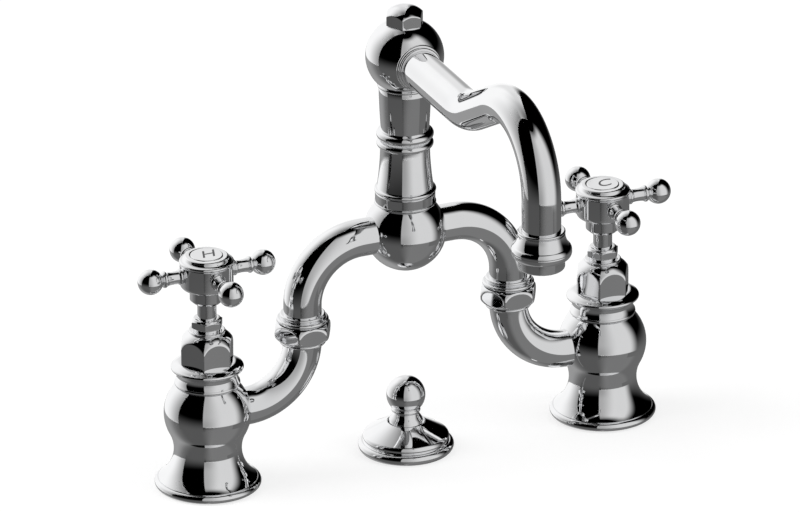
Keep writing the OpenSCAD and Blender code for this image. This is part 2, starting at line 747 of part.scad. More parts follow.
// Centre body: the ball that both pipes enter, with the collar that carries the column
module centre_body() {
    color(CHROME) translate([0, 0, ball_z]) difference() {
        union() {
            sphere(r = ball_r);
            turned(concat(
                [[collar_r - 3, 0], [collar_r - 3, collar_h - 7.4]],
                [[collar_r - 0.6, collar_h - 6]],
                bead(collar_r + 0.4, collar_h - 5.4, 0.5, 6),
                [[collar_r, collar_h - 4.8], [collar_r, collar_h - 0.5], [collar_r - 0.5, collar_h]]
            ));
        }
        for (side = [-90, 90]) rotate([0, side, 0]) {
            cylinder(r = pipe_bore_r, h = ball_r);
            translate([0, 0, ball_socket]) cylinder(r = pipe_r + fit, h = ball_r);
        }
        cylinder(r = column_thread_r - 2.5, h = collar_h + eps);
        translate([0, 0, collar_h - column_thread_len - gap])
            cylinder(r = column_thread_r + fit, h = column_thread_len + gap + eps);
    }
}

// Column: tapered tube between the collar and the swivel joint
module column() {
    color(CHROME) translate([0, 0, column_z]) difference() {
        union() {
            translate([0, 0, -column_thread_len]) cylinder(r = column_thread_r, h = column_thread_len + 1);
            turned(concat(
                bead(collar_r + 0.4, 1, 1, 6),
                [[column_foot_r - 0.2, 2.3]],
                bow([column_foot_r, 2.6], [column_top_r, column_h - 3.6], -0.35, 10),
                bow([ring_r - 1.2, column_h - 3.4], [ring_r - 1.5, column_h], 1.3, 10)
            ));
        }
        translate([0, 0, -column_thread_len - eps])
            cylinder(r = column_thread_r - 2.5, h = column_h + column_thread_len);
        translate([0, 0, column_h - 14]) cylinder(r = spigot_thread_r + fit, h = 14 + eps);
    }
}

// Swivel spigot: screwed into the column, it carries the head and limits its swing
module swivel_spigot() {
    pin_half = asin(pin_r / (journal_r - stop_depth / 2));
    color(BRASS) translate([0, 0, swivel_z]) difference() {
        union() {
            translate([0, 0, -13]) cylinder(r = spigot_thread_r, h = 13);
            cylinder(r = journal_r, h = journal_len - chamfer);
            translate([0, 0, journal_len - chamfer])
                cylinder(r1 = journal_r, r2 = journal_r - chamfer, h = chamfer);
        }
        translate([0, 0, -13 - eps]) cylinder(r = spigot_bore_r, h = journal_len + 14);
        for (z = oring_zs)
            translate([0, 0, z]) ring(journal_r - oring_wire, journal_r + eps, oring_wire + 0.4);
        translate([0, 0, stop_z - stop_h / 2]) intersection() {
            ring(journal_r - stop_depth, journal_r + eps, stop_h);
            rotate([0, 0, 90]) wedge(swing + pin_half + 1.5, journal_r + 1, stop_h);
        }
    }
}

// Two rubber rings in the spigot's grooves
module swivel_orings() {
    wire_r = (oring_wire + running) / 2 - 0.04;
    color(RUBBER) for (z = oring_zs)
        translate([0, 0, swivel_z + z + oring_wire / 2 + 0.2])
            rotate_extrude()
                translate([journal_r - oring_wire + wire_r + 0.02, 0]) circle(r = wire_r, $fn = 24);
}

// Slip washer that the head turns on
module swivel_washer() {
    color(PLASTIC) translate([0, 0, swivel_z]) ring(journal_r + gap, ring_r - 1.6, swivel_washer_t);
}

// Spout head: neck over the spigot, ball, and the stepped boss that takes the spout's tube
module spout_head() {
    ring_top = 4.6;
    neck_z = head_z - head_foot_z;
    color(CHROME) difference() {
        union() {
            translate([0, 0, head_foot_z]) turned(concat(
                bow([ring_r - 1.6, 0], [ring_r - 1.5, ring_top - 0.5], 1.6, 10),
                [[head_neck_r - 0.2, ring_top]],
                bow([head_neck_r - 0.5, ring_top + 0.3], [head_neck_r + 0.4, neck_z - 17], 0.15, 6),
                bead(head_neck_r + 1.1, neck_z - 15.3, 0.9, 6),
                [[head_neck_r + 0.2, neck_z - 14]]
            ));
            translate([0, 0, head_z]) {
                sphere(r = head_r);
                rotate([90, 0, 0]) turned(concat(
                    [[spout_r + 1.3, head_r - 7]],
                    bead(spout_r + 2.2, head_r - 2.9, 0.9, 6),
                    [[spout_r + 0.9, head_r - 1.9]],
                    bow([spout_r + 1, head_r - 1.7], [spout_r + 0.6, head_r - 0.3], 0.5, 5)
                ));
            }
        }
        translate([0, 0, head_foot_z - eps])
            cylinder(r = journal_r + running, h = neck_z - spout_bore_r + eps);
        translate([0, 0, head_z - spout_bore_r - eps]) cylinder(r = spout_bore_r, h = 2 * spout_bore_r);
        translate([0, 0, head_z]) rotate([90, 0, 0]) {
            cylinder(r = spout_bore_r, h = head_r);
            translate([0, 0, spout_socket]) cylinder(r = spout_r + fit, h = head_r);
        }
        translate([0, 0, head_z + cap_seat]) cylinder(r = head_r, h = head_r);
        translate([0, 0, head_z]) cylinder(r = cap_thread_r + fit, h = head_r);
        translate([0, 0, swivel_z + stop_z]) rotate([-90, 0, 0]) cylinder(r = 2 + fit, h = ring_r);
    }
}

// Grub screw at the back of the head; its tip runs in the spigot's groove
module swivel_screw() {
    color(STEEL) translate([0, 0, swivel_z + stop_z]) rotate([-90, 0, 0]) difference() {
        union() {
            translate([0, 0, journal_r - stop_depth + gap]) cylinder(r = pin_r, h = stop_depth + 1);
            translate([0, 0, journal_r + gap]) cylinder(r = 2, h = head_neck_r - journal_r - 2 * gap);
        }
        translate([0, 0, head_neck_r - gap - 1.4]) cylinder(r = 1, h = 2, $fn = 6);
    }
}

// Hex cap with a domed top, screwed into the head
module head_cap() {
    flat_r = cap_r * cos(30);
    corner_z = cap_h - 4.4;
    color(CHROME) translate([0, 0, head_z + cap_seat]) union() {
        translate([0, 0, -6]) cylinder(r = cap_thread_r, h = 7);
        intersection() {
            cylinder(r = cap_r, h = cap_h, $fn = 6);
            turned(concat(
                [[flat_r - 0.8, 0], [cap_r, 1]],
                bow([cap_r, corner_z], [0.01, cap_h], 1.25, 12)
            ));
        }
    }
}

// Centre line of the spout: distance in front of the column, height, and slope in degrees
SPOUT_LINE = concat(
    [[spout_socket + gap, head_z, 0]],
    [for (i = [0:SWEEP_STEPS]) let (slope = rise_angle * i / SWEEP_STEPS)
        [spout_run + sweep_r * sin(slope), head_z + sweep_r * (1 - cos(slope)), slope]],
    [for (i = [0:CROOK_STEPS]) let (slope = rise_angle - crook_turn * i / CROOK_STEPS)
        [spout_reach - crook_r * (1 + sin(slope)), crook_z + crook_r * cos(slope), slope]],
    [[spout_reach, tube_end_z, -90]]
);

// A circle of points of radius r round a station of the spout's centre line
function round_station(station, r) =
    [for (k = [0:TUBE_SIDES - 1]) let (t = 360 * k / TUBE_SIDES, up = r * sin(t))
        [r * cos(t), -(station[0] - up * sin(station[2])), station[1] + up * cos(station[2])]];

// Swan-neck spout: straight run, rise, crook and drop, swept as one open-ended tube
module spout_tube() {
    stations = len(SPOUT_LINE);
    skins = [spout_r, spout_bore_r];
    points = [for (r = skins) for (station = SPOUT_LINE) each round_station(station, r)];
    // Index of side k at a station of the outer skin, 0, or of the bore, 1
    function at(skin, station, k) = (skin * stations + station) * TUBE_SIDES + k % TUBE_SIDES;
    walls = [for (skin = [0, 1]) for (s = [0:stations - 2]) for (k = [0:TUBE_SIDES - 1])
        let (quad = [at(skin, s, k), at(skin, s + 1, k), at(skin, s + 1, k + 1), at(skin, s, k + 1)])
        each skin == 0
            ? [[quad[0], quad[1], quad[2]], [quad[0], quad[2], quad[3]]]
            : [[quad[0], quad[2], quad[1]], [quad[0], quad[3], quad[2]]]];
    ends = [for (s = [0, stations - 1]) for (k = [0:TUBE_SIDES - 1])
        let (quad = [at(0, s, k), at(0, s, k + 1), at(1, s, k + 1), at(1, s, k)])
        each s == 0
            ? [[quad[0], quad[1], quad[2]], [quad[0], quad[2], quad[3]]]
            : [[quad[0], quad[2], quad[1]], [quad[0], quad[3], quad[2]]]];
    color(CHROME) polyhedron(points, concat(walls, ends));
}

// Everything on the outlet's axis is drawn from the end of the aerator up
module at_outlet() {
    translate([0, -spout_reach, outlet_z]) children();
}

// Flared outlet, brazed over the end of the tube
module outlet_bell() {
    wide_z = bell_low + 3.6;
    top_r = spout_r + 2.3;
    thread_z = bell_low + aerator_thread_len + 1;
    color(CHROME) at_outlet() difference() {
        turned(concat(
            [[aerator_r + 0.3, bell_low]],
            bow([aerator_r + 0.9, bell_low + 0.2], [bell_r, wide_z], 0.8, 8),
            swell(bell_r, wide_z + 0.1, top_r - 0.6, bell_neck - 2.6, 12),
            bead(top_r, bell_neck - 1.2, 1.2, 6)
        ));
        translate([0, 0, bell_low - eps]) cylinder(r = aerator_thread_r + fit, h = thread_z - bell_low + eps);
        cylinder(r = spout_bore_r, h = bell_neck);
        translate([0, 0, tube_end_z - outlet_z]) cylinder(r = spout_r + fit, h = bell_neck);
    }
}

// Aerator housing: the short cylinder under the flare, screwed up into it
module aerator_housing() {
    color(CHROME) at_outlet() difference() {
        union() {
            turned(concat(bow([aerator_r - 1.4, 0], [aerator_r, 1.2], 0.4, 5), [[aerator_r, bell_low]]));
            translate([0, 0, 1]) cylinder(r = aerator_thread_r, h = bell_low + aerator_thread_len - 1);
        }
        translate([0, 0, -eps]) cylinder(r = aerator_thread_r - 2.7, h = bell_low + aerator_thread_len);
        translate([0, 0, 1]) cylinder(r = aerator_thread_r - 1.6, h = bell_low + aerator_thread_len);
    }
}

// Aerator insert: a disc bored with rings of jets
module aerator_insert() {
    insert_r = aerator_thread_r - 1.6 - fit;
    insert_h = bell_low + aerator_thread_len - 1;
    pitch = insert_r / 2.9;
    jets = concat(
        [[0, 0]],
        [for (k = [1:2]) for (i = [0:6 * k - 1]) k * pitch * [cos(60 * i / k), sin(60 * i / k)]]
    );
    color(PLASTIC) at_outlet() translate([0, 0, 1]) difference() {
        cylinder(r = insert_r, h = insert_h);
        for (jet = jets)
            translate([jet[0], jet[1], -eps]) cylinder(r = pitch * 0.36, h = insert_h + 2 * eps, $fn = 24);
    }
}

// Rubber washer between the aerator and the outlet's shoulder
module aerator_washer() {
    color(RUBBER) at_outlet() translate([0, 0, bell_low + aerator_thread_len])
        ring(spout_bore_r, aerator_thread_r - fit, 1);
}

// Lift knob: turned ball on a flared neck
module lift_knob() {
    ball_low = knob_z - knob_r * 0.7;
    neck_r2 = knob_r * 0.714;
    color(CHROME) difference() {
        turned(concat(
            [[rod_r + 2.2, knob_foot_z]],
            bow([neck_r2 + 0.6, knob_foot_z], [neck_r2 + 1.6, knob_foot_z + 1.6], 0.4, 5),
            swell(neck_r2 + 1.5, knob_foot_z + 1.8, neck_r2 - 0.5, ball_low - 2.2, 8),
            bow([neck_r2 - 0.3, ball_low - 2], [neck_r2 - 0.1, ball_low - 0.2], 0.5, 5),
            arc([0, knob_z], knob_r, asin(-0.7), 89.9, 20)
        ));
        translate([0, 0, knob_foot_z - eps]) cylinder(r = rod_thread_r + fit, h = knob_rise - 3 + eps);
    }
}

// Lift rod: threaded into the knob, with a thinner end for the waste's clevis
module lift_rod() {
    color(CHROME) union() {
        translate([0, 0, knob_foot_z - 1]) cylinder(r = rod_thread_r, h = knob_rise - 3);
        translate([0, 0, rod_end_len - rod_len]) cylinder(r = rod_r, h = rod_len - rod_end_len + knob_foot_z);
        translate([0, 0, chamfer - rod_len]) cylinder(r = rod_end_r, h = rod_end_len);
        translate([0, 0, -rod_len]) cylinder(r1 = rod_end_r - chamfer, r2 = rod_end_r, h = chamfer);
    }
}

// Domed rose round the rod, screwed onto the guide
module lift_rose() {
    top_r = knob_r - 1;
    color(CHROME) difference() {
        turned(concat(
            bead(rose_r, rose_rim / 2, rose_rim / 2),
            bow([rose_r - 1.6, rose_rim + 0.3], [top_r, rose_h], 1.9, 12)
        ));
        cylinder(r = rod_r + gap, h = rose_h + eps);
        translate([0, 0, -eps]) turned(concat(
            [[rose_r - 2 * rose_t, 0], [rose_r - 2 * rose_t, rose_rim]],
            bow([rose_r - 2 * rose_t, rose_rim + 0.3], [guide_r + rose_t, rose_h - rose_t - 0.6], 1.2, 10),
            [[guide_r + rose_t, rose_h / 2], [0.01, rose_h / 2]]
        ));
        translate([0, 0, -eps]) cylinder(r = guide_r + fit, h = guide_boss_z + gap + eps);
    }
}

// Guide bush: flange on the deck, boss for the rose and a thread through the deck
module lift_guide() {
    color(BRASS) difference() {
        union() {
            translate([0, 0, -guide_len]) cylinder(r = guide_r, h = guide_len + guide_boss_z);
            cylinder(r = guide_flange_r, h = guide_flange_t);
        }
        translate([0, 0, -guide_len - eps]) cylinder(r = rod_r + running, h = guide_len + rose_h);
    }
}

// Flanged nut that holds the guide under the deck
module lift_guide_nut() {
    color(BRASS) translate([0, 0, -deck_t - guide_nut_h]) difference() {
        union() {
            hex(guide_flange_r - 2, guide_nut_h - guide_nut_flange_t + eps, 0.6, 0);
            translate([0, 0, guide_nut_h - guide_nut_flange_t])
                cylinder(r = guide_flange_r, h = guide_nut_flange_t);
        }
        translate([0, 0, -eps]) cylinder(r = guide_r + fit, h = guide_nut_h + 2 * eps);
    }
}

on_side("hot") pillar();  // hot_pillar
on_side("hot") shank();  // hot_shank
on_side("hot") deck_gasket();  // hot_deck_gasket
on_side("hot") clamp_washer();  // hot_clamp_washer
on_side("hot") back_nut();  // hot_back_nut
on_side("hot") lower_elbow();  // hot_lower_elbow
on_side("hot") union_nut();  // hot_union_nut
on_side("hot") union_washer();  // hot_union_washer
on_side("hot") upper_elbow();  // hot_upper_elbow
on_side("hot") seat_seal();  // hot_seat_seal
on_side("hot") fixed_disc();  // hot_fixed_disc
on_side("hot") moving_disc();  // hot_moving_disc
on_side("hot") cartridge_body();  // hot_cartridge_body
on_side("hot") spindle();  // hot_spindle
on_side("hot") spindle_seals();  // hot_spindle_seals
on_side("hot") bonnet();  // hot_bonnet
on_side("hot") gland_nut();  // hot_gland_nut
on_side("hot") handle_hub();  // hot_handle_hub
on_side("hot") handle_arms();  // hot_handle_arms
on_side("hot") handle_screw();  // hot_handle_screw
on_side("hot") index_button();  // hot_index_button

on_side("cold") pillar();  // cold_pillar
on_side("cold") shank();  // cold_shank
on_side("cold") deck_gasket();  // cold_deck_gasket
on_side("cold") clamp_washer();  // cold_clamp_washer
on_side("cold") back_nut();  // cold_back_nut
on_side("cold") lower_elbow();  // cold_lower_elbow
on_side("cold") union_nut();  // cold_union_nut
on_side("cold") union_washer();  // cold_union_washer
on_side("cold") upper_elbow();  // cold_upper_elbow
on_side("cold") seat_seal();  // cold_seat_seal
on_side("cold") fixed_disc();  // cold_fixed_disc
on_side("cold") moving_disc();  // cold_moving_disc
on_side("cold") cartridge_body();  // cold_cartridge_body
on_side("cold") spindle();  // cold_spindle
on_side("cold") spindle_seals();  // cold_spindle_seals
on_side("cold") bonnet();  // cold_bonnet
on_side("cold") gland_nut();  // cold_gland_nut
on_side("cold") handle_hub();  // cold_handle_hub
on_side("cold") handle_arms();  // cold_handle_arms
on_side("cold") handle_screw();  // cold_handle_screw
on_side("cold") index_button();  // cold_index_button

centre_body();
column();
swivel_spigot();
swivel_orings();
swivel_washer();
spout_head();
swivel_screw();
head_cap();
spout_tube();
outlet_bell();
aerator_housing();
aerator_insert();
aerator_washer();
lift_knob();
lift_rod();
lift_rose();
lift_guide();
lift_guide_nut();
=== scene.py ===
import json
from math import acos, asin, atan2, cos, degrees, hypot, pi, radians, sin

import bpy
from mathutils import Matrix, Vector

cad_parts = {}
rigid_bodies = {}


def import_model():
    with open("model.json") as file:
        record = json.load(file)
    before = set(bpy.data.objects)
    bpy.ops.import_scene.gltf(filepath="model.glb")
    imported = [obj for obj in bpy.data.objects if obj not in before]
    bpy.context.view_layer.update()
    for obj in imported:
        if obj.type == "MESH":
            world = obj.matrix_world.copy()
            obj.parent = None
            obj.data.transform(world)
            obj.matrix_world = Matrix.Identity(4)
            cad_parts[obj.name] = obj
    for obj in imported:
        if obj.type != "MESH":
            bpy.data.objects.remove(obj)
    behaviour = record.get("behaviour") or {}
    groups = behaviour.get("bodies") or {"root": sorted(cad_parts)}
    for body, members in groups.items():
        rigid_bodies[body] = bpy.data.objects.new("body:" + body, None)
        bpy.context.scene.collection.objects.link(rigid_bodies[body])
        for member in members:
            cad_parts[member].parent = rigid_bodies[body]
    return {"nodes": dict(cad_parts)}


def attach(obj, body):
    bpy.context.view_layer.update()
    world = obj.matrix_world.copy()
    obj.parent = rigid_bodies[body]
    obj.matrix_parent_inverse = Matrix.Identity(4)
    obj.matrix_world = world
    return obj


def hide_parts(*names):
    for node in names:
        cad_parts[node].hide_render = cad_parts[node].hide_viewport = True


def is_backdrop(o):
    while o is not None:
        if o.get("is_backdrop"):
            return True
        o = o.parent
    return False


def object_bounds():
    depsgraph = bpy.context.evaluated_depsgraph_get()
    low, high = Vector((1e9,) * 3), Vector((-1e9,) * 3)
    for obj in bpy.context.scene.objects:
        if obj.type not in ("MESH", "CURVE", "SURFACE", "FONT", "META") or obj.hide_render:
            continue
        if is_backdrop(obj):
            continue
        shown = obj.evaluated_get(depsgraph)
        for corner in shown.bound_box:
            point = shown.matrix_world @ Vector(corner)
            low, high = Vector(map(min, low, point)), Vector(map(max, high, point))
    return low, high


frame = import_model()
CAD_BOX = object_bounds()
nodes = frame["nodes"]
bpy.ops.object.select_all(action="DESELECT")
scene = bpy.context.scene
scene.view_settings.view_transform = "Standard"


# Camera: far off with a long lens, so that upright lines stay almost upright.
# It stands 24 degrees to the left of the front and 23.5 degrees up, tilted by a touch,
# and looks at a point just under the bridge's ball.
CAMERA_TURN = radians(-23.75)
CAMERA_RISE = radians(23.64)
CAMERA_ROLL = radians(-0.2)
CAMERA_AWAY = 10.8
FRAME_WIDTH = 0.37548
SENSOR = 36.0
SIGHT_END = 100
AIM = Vector((-0.00277, 0, 0.09881))

level = cos(CAMERA_RISE)
away = Vector((sin(CAMERA_TURN) * level, -cos(CAMERA_TURN) * level, sin(CAMERA_RISE)))
bpy.ops.object.camera_add(location=AIM + away * CAMERA_AWAY)
camera = bpy.context.object
camera.name = "camera"
camera.rotation_euler = away.to_track_quat("Z", "Y").to_euler()
camera.rotation_euler.rotate_axis("Z", CAMERA_ROLL)
camera.data.sensor_width = SENSOR
camera.data.lens = SENSOR * CAMERA_AWAY / FRAME_WIDTH
camera.data.clip_end = SIGHT_END
scene.camera = camera


# Studio: a white room with a pale floor at the height of the deck.
# Soft-edged flags stand round the object for the chrome to mirror, and only mirrors see them.
# Bearings are in degrees round the object: 0 is the front, 90 the cold side, 180 the back.
ROOM_LIGHT = 0.55
WALL_AWAY = 18.0
WALL_FOOT = -11.2
WALL_TOP = 54.0
WALL_LAYER = 0.1
GROUND_DOWN = -11.6
GROUND_RADIUS = 34.0
GROUND_LAYER = 0.05
TOP_UP = 55.5
TOP_RADIUS = 58.0
BACK_RADIUS = 115.0
HOLE_RADIUS = 0.5
FLAG_STEPS = 48


def new_tree(name):
    material = bpy.data.materials.new(name)
    material.use_nodes = True
    material.node_tree.nodes.clear()
    return material, material.node_tree


def maths(tree, operation, *values):
    """A Math node; each value is a number or another node's output."""
    node = tree.nodes.new("ShaderNodeMath")
    node.operation = operation
    for socket, value in zip(node.inputs, values):
        if isinstance(value, (int, float)):
            socket.default_value = value
        else:
            tree.links.new(value, socket)
    return node.outputs[0]


def mixed(tree, share, first, second, output):
    """Puts out two shaders as one: the first where the share is 0, the second where it is 1."""
    mix = tree.nodes.new("ShaderNodeMixShader")
    end = tree.nodes.new(output)
    tree.links.new(share, mix.inputs["Fac"])
    tree.links.new(first.outputs[0], mix.inputs[1])
    tree.links.new(second.outputs[0], mix.inputs[2])
    tree.links.new(mix.outputs[0], end.inputs["Surface"])


def fade(tree, value, none_at, full_at):
    """From 0 to 1, eased, as the value goes from one place to the other."""
    ramp = tree.nodes.new("ShaderNodeMapRange")
    ramp.interpolation_type = "SMOOTHSTEP"
    ramp.inputs["From Min"].default_value = none_at
    ramp.inputs["From Max"].default_value = full_at
    tree.links.new(value, ramp.inputs["Value"])
    return ramp.outputs[0]


def within(tree, value, edges):
    """1 between the two inner edges, fading to 0 at the outer ones."""
    coming = fade(tree, value, edges[0], edges[1])
    going = fade(tree, value, edges[3], edges[2])
    return maths(tree, "MULTIPLY", coming, going)


def flag_paint(name, tone, across, up, cover, slant):
    """Soft-edged cloth. Across and up give, in degrees, its start, its whole part and its end."""
    material, tree = new_tree(name)
    place = tree.nodes.new("ShaderNodeTexCoord")
    split = tree.nodes.new("ShaderNodeSeparateXYZ")
    tree.links.new(place.outputs["Object"], split.inputs[0])
    x, y, z = split.outputs
    bearing = maths(tree, "DEGREES", maths(tree, "ARCTAN2", x, maths(tree, "MULTIPLY", y, -1)))
    squares = maths(tree, "ADD", maths(tree, "MULTIPLY", x, x), maths(tree, "MULTIPLY", y, y))
    height = maths(tree, "DEGREES", maths(tree, "ARCTAN2", z, maths(tree, "SQRT", squares)))
    height = maths(tree, "ADD", height, maths(tree, "MULTIPLY", bearing, slant))
    mask = maths(tree, "MULTIPLY", within(tree, bearing, across), within(tree, height, up))
    clear = tree.nodes.new("ShaderNodeBsdfTransparent")
    cloth = tree.nodes.new("ShaderNodeEmission")
    cloth.inputs["Color"].default_value = (tone, tone, tone, 1)
    mixed(tree, maths(tree, "MULTIPLY", mask, cover), clear, cloth, "ShaderNodeOutputMaterial")
    return material


def edit_all():
    """Edit mode, with the whole mesh selected."""
    bpy.ops.object.mode_set(mode="EDIT")
    bpy.ops.mesh.select_all(action="SELECT")


def one_point(name, place):
    """A mesh of one point, left in edit mode to be drawn on."""
    bpy.ops.mesh.primitive_plane_add(size=1)
    piece = bpy.context.object
    piece.name = name
    edit_all()
    bpy.ops.mesh.merge(type="CENTER")
    bpy.ops.transform.translate(value=place)
    return piece


def draw_on(step):
    bpy.ops.mesh.extrude_region_move(TRANSFORM_OT_translate={"value": step})


def only_mirrored(flag):
    flag.visible_camera = False
    flag.visible_diffuse = False
    flag.visible_shadow = False
    flag.visible_transmission = False
    flag.visible_volume_scatter = False
    flag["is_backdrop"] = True


def flag_from(name, edge, tone, across, up, cover=1.0, slant=0.0):
    """A flag that one edge, two points in the plane of bearing 0, sweeps from bearing to bearing."""
    start = radians(across[0])
    sweep = radians(across[3] - across[0])
    near, far = (Vector((-y * sin(start), y * cos(start), z)) for y, z in edge)
    flag = one_point(name, near)
    draw_on(far - near)
    bpy.ops.mesh.select_all(action="SELECT")
    bpy.ops.mesh.spin(steps=FLAG_STEPS, angle=-sweep, center=(0, 0, 0), axis=(0, 0, 1))
    bpy.ops.object.mode_set(mode="OBJECT")
    flag.data.materials.append(flag_paint(name, tone, across, up, cover, slant))
    only_mirrored(flag)


def wall_flag(name, layer, *cloth, **more):
    """A curved flag on the wall round the object; a higher layer hangs in front of a lower one."""
    y = -WALL_AWAY + WALL_LAYER * layer
    flag_from(name, ((y, WALL_FOOT), (y, WALL_TOP)), *cloth, **more)


def ground_flag(name, layer, *cloth):
    """A level flag far under the deck; a higher layer lies on a lower one."""
    z = GROUND_DOWN + GROUND_LAYER * layer
    flag_from(name, ((-HOLE_RADIUS, z), (-GROUND_RADIUS, z)), *cloth)


def top_flag(name, radius, *cloth):
    """A level black flag far over the object."""
    flag_from(name, ((-HOLE_RADIUS, TOP_UP), (-radius, TOP_UP)), BLACK, *cloth)


BLACK = 0.0
FROM_BACK = (-180.2, -180.1)
TO_BACK = (180.1, 180.2)
TOP_LEFT = (-110, -105)
TOP_RIGHT = (143, 147)
LEFT_END = (-106.5, -103.5)
RIGHT_END = (46, 48)
GROUND_END = (-21.5, -19.9)
ground_flag("ground", 0, 0.19, (*FROM_BACK, *TO_BACK), (-100, -95, *GROUND_END))
ground_flag("pale_ground_left", 1, 0.33, (*FROM_BACK, -160, -115), (-85, -60, *GROUND_END))
ground_flag("pale_ground_right", 1, 0.33, (145, 180, *TO_BACK), (-85, -60, *GROUND_END))
ground_flag("dim_ground_left", 2, 0.095, (-140, -90, -45, -5), (-95, -75, *GROUND_END))
ground_flag("dim_ground_right", 2, 0.145, (60, 85, 125, 150), (-95, -75, *GROUND_END))
top_flag("top", TOP_RADIUS, (*TOP_LEFT, *TOP_RIGHT), (45, 70, 95, 100))
top_flag("back_top_left", BACK_RADIUS, (*FROM_BACK, *TOP_LEFT), (27, 103, 110, 115))
top_flag("back_top_right", BACK_RADIUS, (*TOP_RIGHT, *TO_BACK), (27, 103, 110, 115))
wall_flag("dim_flag_right", 1, 0.14, (*RIGHT_END, 143, 154), (-40, -34, 30, 40))
wall_flag("dim_flag_left", 1, 0.094, (*LEFT_END, -32, -28), (-40, -34, 30, 40))
wall_flag("black_flag_right", 2, BLACK, (*RIGHT_END, *TOP_RIGHT), (-30, 6, 85, 90))
wall_flag("black_flag_left", 2, BLACK, (*LEFT_END, -30, -29), (-30, 5, 85, 90))
wall_flag("shade_left", 3, BLACK, (-160, -85, *LEFT_END), (-22.5, -19, 60, 71), cover=0.85)
wall_flag("grey_flag_front", 3, 0.69, (-36.2, -35.0, 50, 82), (-21.6, -19.4, 56, 76), slant=0.03)
wall_flag("net_on_front", 4, BLACK, (-36.5, -35.5, -33, 18), (-30, -18, 60, 80), cover=0.4)
wall_flag("low_net_on_front", 5, BLACK, (-36.5, -35.5, -30, 12), (-30, -20, -15, 12), cover=0.2)
wall_flag("net_at_back", 4, BLACK, (120, 145, 165, 180), (0, 12, 40, 60), cover=0.17)

# The floor glows a little, so that it is as white as the room, and keeps the object's shadow.
FLOOR_SIZE = 90
FLOOR_DROP = 0.0003
FLOOR_TONE = (0.36, 0.36, 0.36, 1)
FLOOR_GLOW = 0.69
bpy.ops.mesh.primitive_plane_add(size=FLOOR_SIZE, location=(0, 0, -FLOOR_DROP))
floor = bpy.context.object
floor.name = "floor"
floor_paint, tree = new_tree("floor_paint")
paint = tree.nodes.new("ShaderNodeBsdfDiffuse")
paint.inputs["Color"].default_value = FLOOR_TONE
glow = tree.nodes.new("ShaderNodeEmission")
glow.inputs["Strength"].default_value = FLOOR_GLOW
both = tree.nodes.new("ShaderNodeAddShader")
output = tree.nodes.new("ShaderNodeOutputMaterial")
tree.links.new(paint.outputs[0], both.inputs[0])
tree.links.new(glow.outputs[0], both.inputs[1])
tree.links.new(both.outputs[0], output.inputs["Surface"])
floor.data.materials.append(floor_paint)
floor.visible_glossy = False
floor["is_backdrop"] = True

# The room itself is full white to the camera and to mirrors, and dimmer as a light.
world = bpy.data.worlds.new("white_room")
scene.world = world
world.use_nodes = True
tree = world.node_tree
tree.nodes.clear()
seen_room = tree.nodes.new("ShaderNodeBackground")
seen_room.inputs["Color"].default_value = (1, 1, 1, 1)
room_light = tree.nodes.new("ShaderNodeBackground")
room_light.inputs["Color"].default_value = (1, 1, 1, 1)
room_light.inputs["Strength"].default_value = ROOM_LIGHT
rays = tree.nodes.new("ShaderNodeLightPath")
seen = maths(tree, "MAXIMUM", rays.outputs["Is Camera Ray"], rays.outputs["Is Glossy Ray"])
seen = maths(tree, "MAXIMUM", seen, rays.outputs["Is Transmission Ray"])
mixed(tree, seen, room_light, seen_room, "ShaderNodeOutputWorld")

LAMPS = {
    "key_lamp": ((-2.2, 0.6, 2.6), 2.0, 60),
    "fill_lamp": ((2.0, -1.6, 2.2), 1.6, 25),
}
for name, (place, size, watts) in LAMPS.items():
    bpy.ops.object.light_add(type="AREA", location=place)
    lamp = bpy.context.object
    lamp.name = name
    lamp.data.size = size
    lamp.data.energy = watts
    lamp.rotation_euler = (Vector(place) - AIM).to_track_quat("Z", "Y").to_euler()
    lamp.visible_glossy = False


# Supply shanks: brass inlets that pass through the deck, cut with half-inch pipe thread.
# A groove parts the back nut's thread from the tap connector's, and a plain register fills
# the deck's hole. Lengths are in millimetres from here on, from the deck's top.
MM = 0.001
WELD = 0.002 * MM
SLIP = 0.05
HALF_SPAN = 101.6
HOT_AXIS = (-HALF_SPAN, 0, 0)
SHANK_R = 10.48
SHANK_CORE_R = 9.35
SHANK_BORE_R = 6.5
SHANK_FOOT = -60
SHANK_HEAD = 14
GROOVE = (-38.5, -36.5)
REGISTER_R = 10.8
REGISTER = (-6, 1.5)
PIPE_PITCH = 1.814
THREAD_FOOT = 0.42
THREAD_CREST = 0.12
THREAD_SUNK = 0.15
THREAD_STEPS = 48
NOISE_LOW = 0.3
NOISE_HIGH = 0.7


def noise(tree, scale, detail=2.0, stretch=(1, 1, 1)):
    """Noise on Object coordinates: scale in lumps to a metre, stretched along an axis if asked."""
    place = tree.nodes.new("ShaderNodeTexCoord")
    lay = tree.nodes.new("ShaderNodeMapping")
    lay.inputs["Scale"].default_value = stretch
    lumps = tree.nodes.new("ShaderNodeTexNoise")
    lumps.inputs["Scale"].default_value = scale
    lumps.inputs["Detail"].default_value = detail
    tree.links.new(place.outputs["Object"], lay.inputs["Vector"])
    tree.links.new(lay.outputs["Vector"], lumps.inputs["Vector"])
    return lumps.outputs["Fac"]


def between(tree, value, low, high):
    """The noise's value, spread from low to high."""
    spread = tree.nodes.new("ShaderNodeMapRange")
    spread.inputs["From Min"].default_value = NOISE_LOW
    spread.inputs["From Max"].default_value = NOISE_HIGH
    spread.inputs["To Min"].default_value = low
    spread.inputs["To Max"].default_value = high
    tree.links.new(value, spread.inputs["Value"])
    return spread.outputs[0]


